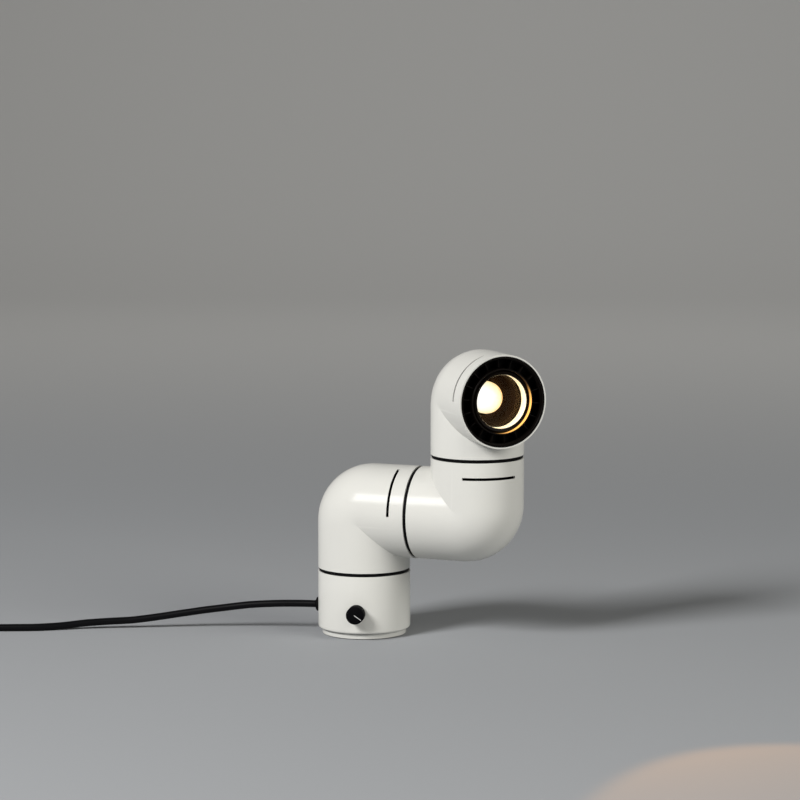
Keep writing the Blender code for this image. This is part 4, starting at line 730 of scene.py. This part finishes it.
def coil_route():
    """The coil's centreline, two layers spiralling in and out again, and its middle, headings and radius."""
    cord = settings("cord")
    heading = Vector((math.cos(COIL_HEADING), math.sin(COIL_HEADING), 0))
    inward = Vector((heading.y, -heading.x, 0))
    half_way = cord.turns / 2
    outer = cord.coil_radius + cord.pitch * half_way
    start = Vector(RUN_ROUTE[-1]) + heading * (SEAT_GAP + LEAD_IN)
    start.z = cord.diameter / 2 + TIE_THICKNESS + TIE_GAP
    centre = start + inward * outer
    line = []
    for step in range(round(cord.turns * TURN_STEPS) + 1):
        turns = step / TURN_STEPS
        reach = cord.coil_radius + cord.pitch * abs(turns - half_way)
        climb = min(1, max(0, (turns - half_way) * 2 + 0.5))
        angle = math.tau * turns
        spoke = heading * math.sin(angle) - inward * math.cos(angle)
        lift = Vector((0, 0, cord.pitch * climb * climb * (3 - 2 * climb)))
        line.append(centre + spoke * reach + lift)
    away = (heading * math.cos(angle) + inward * math.sin(angle)).normalized()
    return line, centre, inward, away, outer


def cord_line():
    """The whole cord's centreline from the gland to the plug's boot, its end and its heading there."""
    cord = settings("cord")
    coil, _centre, _inward, away, _outer = coil_route()
    side = Vector((-away.y, away.x, 0))
    begin_tail = coil[-1] + away * (LEAD_IN + SEAT_GAP)
    end = begin_tail + away * cord.tail + side * TAIL_SWAY
    end.z = cord.plug_thickness / 2
    middle = begin_tail.lerp(end, 0.5)
    run = [Vector(point) for point in RUN_ROUTE]
    run[-1].z = coil[0].z
    tail = [coil[-1], begin_tail, begin_tail + away * LEAD_IN, middle, end - away * LEAD_IN, end]
    line = spread([*run, coil[0]], CORD_STEP)[:-1] + coil[:-1] + spread(tail, CORD_STEP)
    return line, end, away


class LAMP_OT_cord(bpy.types.Operator):
    """Lays the mains cord and its coil"""

    bl_idname = "lamp.cord"
    bl_label = "Mains cord"

    def execute(self, context):
        cord = settings("cord")
        line, _end, _away = cord_line()
        curve = adjust(bpy.data.curves.new("mains_cord", "CURVE"), dimensions="3D")
        spline = curve.splines.new("POLY")
        spline.points.add(len(line) - 1)
        for point, where in zip(spline.points, line):
            point.co = (*where, 1)
        spline.use_smooth = True
        adjust(curve, bevel_depth=cord.diameter / 2, bevel_resolution=6, use_fill_caps=True)
        piece = added("mains_cord", curve)
        dress(piece, "base", "cord_sheath", "cord_run", "cord_coil", "cord_tail")
        return {"FINISHED"}


class LAMP_OT_plug(bpy.types.Operator):
    """Models the flat plug with its ribbed boot and two pins, and the strap round the coil"""

    bl_idname = "lamp.plug"
    bl_label = "Plug and tie"

    def execute(self, context):
        cord = settings("cord")
        _line, end, away = cord_line()
        tip = end + away * SEAT_GAP
        half_thick = cord.plug_thickness / 2
        place = facing((tip.x, tip.y, half_thick), away)
        back, half, waist = cord.boot_length, cord.plug_width / 2, 0.0065
        front = back + cord.plug_length
        upper = [
            (back, waist), (back + 0.0045, waist + 0.0020), (back + 0.0120, half - 0.0016),
            (back + 0.0160, half), (front - 0.0040, half), (front, PIN_APART + 0.0042),
        ]
        lower = [(x, -y) for x, y in reversed(upper)]
        body = slab("plug_shell", upper + lower, -half_thick, half_thick, 0.0022, 3)
        for count in range(5):
            x = back + 0.0150 + count * 0.0028
            for face in (-half_thick, half_thick):
                grip = oblong(x, x + 0.0012, -0.0075, 0.0075)
                cut(body, slab("grip", grip, face - GRIP_DEPTH, face + GRIP_DEPTH))
        shell = merged("plug_shell", [body, plug_boot(back)])
        finished(shell, place, "base", "black_plastic", "plug_body")
        pins = []
        for side in (-1, 1):
            outline = [
                (0, front - 0.010), (0.0020, front - 0.010), (0.0020, front + 0.0174),
                (0.0012, front + 0.0188), (0, front + 0.0190),
            ]
            pin_place = Matrix.Translation((0, side * PIN_APART, 0)) @ turn_to((1, 0, 0))
            pins.append(move(turn(f"pin_{side}", outline, 24), pin_place))
        finished(merged("plug_contacts", pins), place, "base", "nickel_brass", "plug_pins")
        coil_strap()
        return {"FINISHED"}


def plug_boot(back):
    """The tapered boot with its six ribs, lying along +X."""
    tip, bore, foot = 0.0040, 0.0033, 0.0056
    outline = [(bore, 0), (tip, 0)]
    for count in range(6):
        x = 0.0015 + count * 0.0032
        radius = tip + 0.0015 * (x / back)
        neck = radius - 0.0006
        outline += [(radius, x), (neck, x + 0.0004), (neck, x + 0.0014), (radius + 0.0001, x + 0.0018)]
    outline += [(foot, back), (foot, back + 0.004), (bore, back + 0.004)]
    return move(turn("plug_boot", outline, 40), turn_to((1, 0, 0)))


def coil_strap():
    """The strap round the coil's two layers, across from where the cord comes in."""
    cord = settings("cord")
    radius = cord.diameter / 2
    _line, centre, inward, _away, outer = coil_route()
    high = radius * 2 + TIE_THICKNESS + TIE_GAP + cord.pitch + TIE_GAP + TIE_THICKNESS
    near = cord.coil_radius - radius - TIE_GAP - TIE_THICKNESS
    far = outer + radius + TIE_GAP + TIE_THICKNESS
    bend = radius + TIE_GAP
    corners = oblong(near + bend, far - bend, bend, high - bend)
    outside = []
    for quarter, corner in zip((-1, 0, 1, 2), (*corners[1:], corners[0])):
        outside += arc(corner, bend, quarter * QUARTER, (quarter + 1) * QUARTER, 6)
    strap = draw_line("coil_strap", [(x, -TIE_WIDTH / 2, z) for x, z in outside], True)
    select_all()
    extrude(0, TIE_WIDTH, 0)
    close_up()
    apply_modifier(strap, "SOLIDIFY", thickness=TIE_THICKNESS, offset=-1)
    place = facing((centre.x, centre.y, 0), inward)
    finished(strap, place, "base", "black_plastic", "cord_tie", "pad_rubber")


# Shells, rings and knob


class LAMP_OT_base(bpy.types.Operator):
    """Models the base's shell, its foot cover, its pad and the cord's gland"""

    bl_idname = "lamp.base"
    bl_label = "Base"

    def execute(self, context):
        tubes = settings("tubes")
        places = frames()
        outer, bottom, top, lip = tubes.radius, tubes.base_bottom, tubes.base_top, tubes.lip
        inner = outer - tubes.wall
        skirt = outer - 0.0033
        outline = [
            (skirt, bottom),
            *arc((outer - tubes.edge, bottom + tubes.edge), tubes.edge, -QUARTER, 0, 8),
            *arc((outer - lip, top - lip), lip, 0, QUARTER, 4),
            *arc((inner + lip, top - lip), lip, QUARTER, math.pi, 3),
            (inner, bottom + 0.0090),
            (skirt, bottom + 0.0070),
        ]
        shell = turn("base_shell", outline)
        for exit_name, radius in (("knob", 0.0038), ("cord", 0.0048)):
            cut(shell, rod("hole", radius, inner - CUT_PAST, outer + CUT_PAST, places[exit_name]))
        dark = inner + 0.3 * tubes.wall
        lined = ("black_lining", lambda face: off_axis(face) < dark)
        finished(shell, Matrix(), "base", "white_plastic", "base_housing", lined=lined)
        foot, low, high = skirt - SEAT_GAP, 0.0020, 0.0070
        hollow = foot - 0.0011
        outline = [
            (0, low), (hollow, low), (hollow, 0.0008),
            *arc((foot - 0.0003, 0.0009), 0.0003, math.pi + QUARTER, math.tau, 3),
            (foot, high - 0.0004), (foot - 0.0004, high), (0, high),
        ]
        finished(turn("foot_ring", outline), Matrix(), "base", "white_plastic", "foot_cover")
        pad_radius, bevel, deep = hollow - SEAT_GAP, 0.0003, 0.0004
        grooves = []
        for count in range(8):
            radius = pad_radius * (count + 1) / 8.6
            grooves += [(radius, 0), (radius + bevel, deep), (radius + 0.0009, deep), (radius + 0.0012, 0)]
        rim = [(pad_radius - bevel, 0), (pad_radius, bevel), (pad_radius, low - bevel), (0, low - bevel)]
        pad = turn("grip_pad", [(0, 0), *grooves, *rim], 64)
        finished(pad, Matrix(), "base", "pad_rubber", "non_slip_pad")
        cord_gland(places["cord"])
        return {"FINISHED"}


def cord_gland(place):
    """A low black dome round the cord, with a flange against the wall."""
    tubes = settings("tubes")
    seat = tubes.radius + SEAT_GAP
    inside = tubes.radius - tubes.wall - 0.009
    bore = settings("cord").diameter / 2 + 0.0001
    stem, flange, face = 0.0045, 0.0062, seat + 0.0024
    outline = [
        (bore, inside), (stem, inside), (stem, seat), (flange, seat),
        *arc((stem, seat + 0.0003), flange - stem, 0, 1.2, 8),
        (0.0042, face - 0.00035), (0.0038, face), (bore + 0.0002, face), (bore, face - 0.0003),
    ]
    finished(turn("gland_dome", outline, 64), place, "base", "black_plastic", "cable_gland")


class LAMP_OT_elbows(bpy.types.Operator):
    """Models the three elbow shells with their vent slots"""

    bl_idname = "lamp.elbows"
    bl_label = "Elbows"

    def execute(self, context):
        tubes = settings("tubes")
        places = frames()
        for name, body, leg in (
            ("lower", "lower_arm", tubes.leg),
            ("middle", "upper_arm", tubes.leg),
            ("head", "head", tubes.mouth_leg),
        ):
            shell = bent_tube(f"{name}_shell", leg)
            # The lining look also paints the lower two elbows' slot walls as painted shade.
            lined = ("black_lining", lambda face: is_lining_or_slot_shade(face, leg))
            finished(shell, places[body], body, "white_plastic", f"{name}_elbow", angle=12, lined=lined)
        return {"FINISHED"}


def is_lining_or_slot_shade(face, leg):
    """Whether a face, in the elbow's own frame, lines the bore or, on the lower two, is a side wall of a
    vent slot, so that no white shows in there. The bore's lining is black; the slot walls are white plastic
    in shade, so their black is painted shade."""
    tubes = settings("tubes")
    corner, bend = tubes.seam + tubes.leg, tubes.bend
    x, y, z = face.center
    far = leg - tubes.slot_setback
    in_slot = far - tubes.slot_width - NEAR < x < far + NEAR and z > corner
    # Painted shade: the slot's side walls take the lining's black, though they are white plastic in shadow.
    if in_slot and leg == tubes.leg and abs(face.normal.x) > 0.9:
        return True
    if z <= corner - bend and x + z < corner:
        reach = math.hypot(x, y)
    elif x >= bend:
        reach = math.hypot(y, z - corner)
    else:
        reach = math.hypot(y, math.hypot(x - bend, z - corner + bend) - bend)
    return reach < tubes.radius - 0.7 * tubes.wall


def bent_tube(name, leg):
    """A tube cut to a mitre inside the bend, swung round outside it and drawn out level."""
    tubes = settings("tubes")
    bend = tubes.bend
    corner = tubes.seam + tubes.leg
    begin()
    bpy.ops.mesh.primitive_cylinder_add(
        vertices=tubes.facets, radius=tubes.radius, depth=corner, end_fill_type="NOTHING"
    )
    piece = move(named(name), Matrix.Translation((0, 0, tubes.seam + corner / 2)))
    bpy.ops.object.mode_set(mode="EDIT")
    trim((0, 0, corner - bend), (0, 0, 1))
    trim((0, 0, corner), (1, 0, 1))
    pick(piece, lambda co: abs(co.z - corner + bend) < NEAR and co.x < bend + NEAR)
    bpy.ops.mesh.spin(steps=20, angle=-QUARTER, center=(bend, 0, corner - bend), axis=(0, 1, 0))
    clean_up()
    pick(piece, lambda co: co.z > tubes.seam + NEAR, rim=True)
    extrude(leg, 0, 0)
    trim((leg, 0, 0), (1, 0, 0))
    close_up()
    even = {"use_even_offset": True, "use_quality_normals": True}
    apply_modifier(piece, "SOLIDIFY", thickness=tubes.wall, offset=-1, **even)
    soften(piece, tubes.lip, 3, angle=60)
    for side in (-1, 1):
        cut(piece, slot_cutter(leg, side))
    return piece


def slot_cutter(leg, side):
    """The stretch of a ring that a vent slot takes out of the wall."""
    tubes = settings("tubes")
    far, wall = leg - tubes.slot_setback, tubes.radius - tubes.wall / 2
    sweep, lean, reach = math.radians(72), math.radians(17), tubes.wall * 2
    section = oblong(far - tubes.slot_width, far, wall - reach, wall + reach)
    cutter = draw_face("slot_cutter", [(x, 0, z) for x, z in section])
    bpy.ops.mesh.spin(steps=24, angle=-side * sweep, center=(0, 0, 0), axis=(1, 0, 0))
    close_up()
    centre = Matrix.Translation((0, 0, tubes.seam + tubes.leg))
    return move(cutter, centre @ Matrix.Rotation(side * lean, 4, "X"))


class LAMP_OT_rings(bpy.types.Operator):
    """Turns the three black friction rings that show in the seams"""

    bl_idname = "lamp.rings"
    bl_label = "Swivel rings"

    def execute(self, context):
        tubes = settings("tubes")
        places = frames()
        outer = tubes.radius - tubes.ring_recess
        plugged = tubes.radius - tubes.wall - SEAT_GAP
        top = tubes.seam - SEAT_GAP
        bore, bottom, bevel, edge = 0.0053, -0.0025, 0.0003, 0.0001
        outline = [
            (bore, bottom), (plugged - bevel, bottom), (plugged, bottom + bevel), (plugged, SEAT_GAP),
            (outer - edge, SEAT_GAP), (outer, SEAT_GAP + edge), (outer, top - edge), (outer - edge, top),
            (plugged - 0.0020, top), (plugged - 0.0024, top - bevel),
            (0.0140, top - bevel), (0.0136, top), (bore, top),
        ]
        for name, carrier, carried in (
            ("base", "base", "lower_arm"),
            ("middle", "lower_arm", "upper_arm"),
            ("head", "upper_arm", "head"),
        ):
            ring = turn(f"{name}_ring", outline)
            pin = rod("stop_pin", 0.0015, top - 0.0016, top + 0.0016, Matrix.Translation((0.0300, 0, 0)), 24)
            soften(pin, 0.0002)
            ring = merged(f"{name}_ring", [ring, pin])
            finished(ring, places[carried], carrier, "black_plastic", f"{name}_swivel_ring")
        return {"FINISHED"}


class LAMP_OT_knob(bpy.types.Operator):
    """Turns the dimmer knob and inlays its pointer"""

    bl_idname = "lamp.knob"
    bl_label = "Dimmer knob"

    def execute(self, context):
        knob_sizes = settings("knob")
        place = frames()["knob"]
        back = settings("tubes").radius + knob_sizes.standoff
        face = back + knob_sizes.depth
        radius, chamfer = knob_sizes.radius, knob_sizes.chamfer
        bevel = chamfer / 3
        shaft, deep, inside, hollow = 0.0033, back + 0.0083, 0.0062, back + 0.0026
        outline = [
            (0, deep), (shaft, deep), (shaft, hollow), (inside, hollow), (inside, back + bevel),
            (inside + bevel, back), (radius - bevel, back), (radius, back + bevel),
            (radius, face - chamfer - bevel), (radius - bevel / 2, face - chamfer),
            (radius - chamfer, face - bevel / 2), (radius - chamfer - bevel, face), (0, face),
        ]
        knob = turn("knob_body", outline)
        upright = Matrix.Rotation(-knob_sizes.pointer_angle, 4, "Z")
        half, start, depth = knob_sizes.pointer_width / 2, -0.0005, 0.0006
        gap = 0.0001
        wide = oblong(-half - gap, half + gap, start - gap, radius + CUT_PAST)
        groove = slab("pointer_groove", wide, face - depth - gap, face + CUT_PAST)
        cut(knob, move(groove, upright))
        finished(knob, place, "dimmer_knob", "knob_black", "dimmer_knob")
        inlay = oblong(-half, half, start, knob_sizes.pointer_length + start)
        line = move(slab("pointer_line", inlay, face - depth, face, 0.0001), upright)
        finished(line, place, "dimmer_knob", "white_plastic", "knob_pointer", "pointer_white")
        return {"FINISHED"}


# Light unit


class LAMP_OT_light(bpy.types.Operator):
    """Models the ribbed baffle, the bezel, the lens, the reflector and the lit bulb"""

    bl_idname = "lamp.light"
    bl_label = "Light unit"

    def execute(self, context):
        place = frames()["mouth"]
        for model in (baffle, bezel, lens, reflector, bulb):
            model(settings("light"), place)
        return {"FINISHED"}


def baffle(light, place):
    tubes = settings("tubes")
    hub, outer = light.hub_radius, tubes.radius - tubes.wall - SEAT_GAP
    rim, ledge = outer - 0.0015, outer - 0.0022
    mouth, front, end = -0.0003, -light.baffle_depth, -light.baffle_depth - light.baffle_length
    edge, burr = 0.0002, 0.0001
    hub_outer = hub + 0.0012
    floor = end + 0.0010
    lip = -0.0050
    outline = [
        (hub, end), (outer, end), (outer, mouth - edge), (outer - edge, mouth),
        (rim + edge, mouth), (rim, mouth - edge), (rim, -light.rib_depth + 0.0004),
        (ledge, -light.rib_depth), (ledge, floor), (hub_outer, floor), (hub_outer, front - edge),
        (hub_outer - edge, front), (hub + burr, front), (hub, front - burr), (hub, lip),
    ]
    parts = [turn("baffle_ring", outline)]
    half = light.rib_thickness / 2
    across = oblong(hub_outer - 0.0006, rim, -half, half)
    rib = slab("baffle_rib", across, floor - 0.0004, -light.rib_depth, 0.00025)
    for count in range(light.rib_count):
        turned = Matrix.Rotation(math.tau * (count + 0.75) / light.rib_count, 4, "Z")
        parts.append(move(added("baffle_rib", rib.data.copy()), turned))
    bpy.data.objects.remove(rib, do_unlink=True)
    grille = merged("baffle_grille", parts)
    near = hub + 0.00002
    # The hub's lip in front of the ribs takes the glowing finish: painted highlight and glow.
    lit = ("lit_edge", lambda face: off_axis(face) < near and face.center.z > lip)
    finished(grille, place, "head", "black_plastic", "baffle", "baffle_black", lined=lit)


def bezel(light, place):
    outer = light.hub_radius - SEAT_GAP
    front, throat, end = -0.0022, -light.throat_depth, -0.0185
    rim, neck = light.rim_radius, light.throat_radius
    bore = light.lens_radius + SEAT_GAP
    seat = throat - light.throat_length
    edge = 0.00005
    outline = [
        (outer, -0.0048), (outer - 0.0003, -0.0046), (rim - 0.0006, front - 0.0002),
        (rim - 0.0009, front), (neck + 0.0003, throat + edge), (neck + 0.0001, throat - edge),
        (neck, throat - 0.0003), (neck, seat), (bore, seat), (bore, end), (outer, end),
    ]
    # The throat's faces take the glowing finish: painted glow for the bulb's light on the throat wall.
    lit = ("throat_white", lambda face: off_axis(face) < neck + edge)
    ring = turn("lens_ring", outline)
    finished(ring, place, "head", "black_plastic", "lens_bezel", "bezel_black", lined=lit)


def lens_rim(light):
    """Height of the lens's rim, where its curve meets its edge."""
    front = -light.throat_depth - light.throat_length - SEAT_GAP
    return front - light.crown * (1 - (light.throat_radius / light.lens_radius) ** 2)


def lens(light, place):
    radius, rim = light.lens_radius, lens_rim(light)
    back = rim - light.lens_thickness
    crown = [(radius * k / 16, rim + light.crown * (1 - (k / 16) ** 2)) for k in range(17)]
    glass = turn("lens_glass", [*crown, (radius, back), (0, back)])
    finished(glass, place, "head", "clear_glass", "glass_lens", angle=40)


def reflector(light, place):
    inner, wall, bend = light.throat_radius, 0.0012, 0.0010
    front = lens_rim(light) - light.lens_thickness - SEAT_GAP
    hole = light.bulb_radius + 0.0015
    end = -light.tube_end
    back = end + wall
    outline = [
        (inner, front), (inner, back + bend), (inner - bend, back), (hole, back), (hole, end),
        (inner + wall, end), (inner + wall, front - wall),
        (light.lens_radius, front - wall), (light.lens_radius, front),
    ]
    finished(turn("reflector_cup", outline), place, "head", "gloss_black", "reflector_tube")


def bulb(light, place):
    radius, neck, low = light.bulb_radius, light.cap_radius, -light.bulb_neck
    run = 0.0240
    dome = arc((0, -light.bulb_depth - radius), radius, QUARTER, 0, 14)
    taper = [
        (neck + (radius - neck) * (0.5 + 0.5 * math.cos(math.pi * k / 8)), low + run - run * k / 8)
        for k in range(9)
    ]
    glass = turn("bulb_glass", [(0, dome[0][1]), *dome[1:], *taper, (0, low)], 64)
    finished(glass, place, "head", "opal_bulb", "lamp_bulb", angle=50)
    top, groove = low - SEAT_GAP, neck - 0.0005
    thread = []
    for count in range(4):
        z = top - 0.0014 - count * 0.0022
        thread += [(neck, z), (groove, z - 0.0007), (groove, z - 0.0011), (neck, z - 0.0018)]
    tip = top - light.cap_length
    outline = [(0, top), (neck, top), *thread, (neck, tip + neck / 2), (neck / 2, tip), (0, tip)]
    finished(turn("bulb_contact", outline, 48), place, "head", "nickel_brass", "bulb_cap")


class LAMP_OT_inner(bpy.types.Operator):
    """Gives the inner solids that stay as they are their finishes"""

    bl_idname = "lamp.inner"
    bl_label = "Inner parts"

    def execute(self, context):
        slots = {row["node"]: row["material_slot"] for row in frame["record"]["subparts"]}
        for name, piece in frame["nodes"].items():
            piece.data.materials.clear()
            piece.data.materials.append(LOOKS[SLOT_LOOKS.get(slots[name], slots[name])])
        return {"FINISHED"}


class LAMP_PT_panel(bpy.types.Panel):
    """Lists the lamp's groups in the sidebar"""

    bl_idname = "LAMP_PT_panel"
    bl_label = "Elbow tube lamp"
    bl_space_type = "VIEW_3D"
    bl_region_type = "UI"
    bl_category = "Lamp"

    def draw(self, context):
        for operator in OPERATORS:
            self.layout.operator(operator.bl_idname)
        for name, kind in SETTINGS.items():
            box = self.layout.box()
            for setting in kind.__annotations__:
                box.prop(getattr(context.scene, name), setting)


OPERATORS = (
    LAMP_OT_stage,
    LAMP_OT_inner,
    LAMP_OT_base,
    LAMP_OT_plug,
    LAMP_OT_cord,
    LAMP_OT_elbows,
    LAMP_OT_rings,
    LAMP_OT_knob,
    LAMP_OT_light,
)
SETTINGS = {
    "lamp_tubes": LampTubeSizes,
    "lamp_knob": LampKnobSizes,
    "lamp_light": LampLightSizes,
    "lamp_cord": LampCordSizes,
    "lamp_colours": LampColours,
}


def register():
    for kind in (*SETTINGS.values(), *OPERATORS, LAMP_PT_panel):
        bpy.utils.register_class(kind)
    for name, kind in SETTINGS.items():
        setattr(bpy.types.Scene, name, PointerProperty(type=kind))


def unregister():
    for name in SETTINGS:
        delattr(bpy.types.Scene, name)
    for kind in (LAMP_PT_panel, *reversed(OPERATORS), *reversed(SETTINGS.values())):
        bpy.utils.unregister_class(kind)


def main():
    register()
    begin()
    make_finishes()
    for operator in OPERATORS:
        family, name = operator.bl_idname.split(".")
        getattr(getattr(bpy.ops, family), name)()
    begin()


if __name__ == "__main__":
    main()
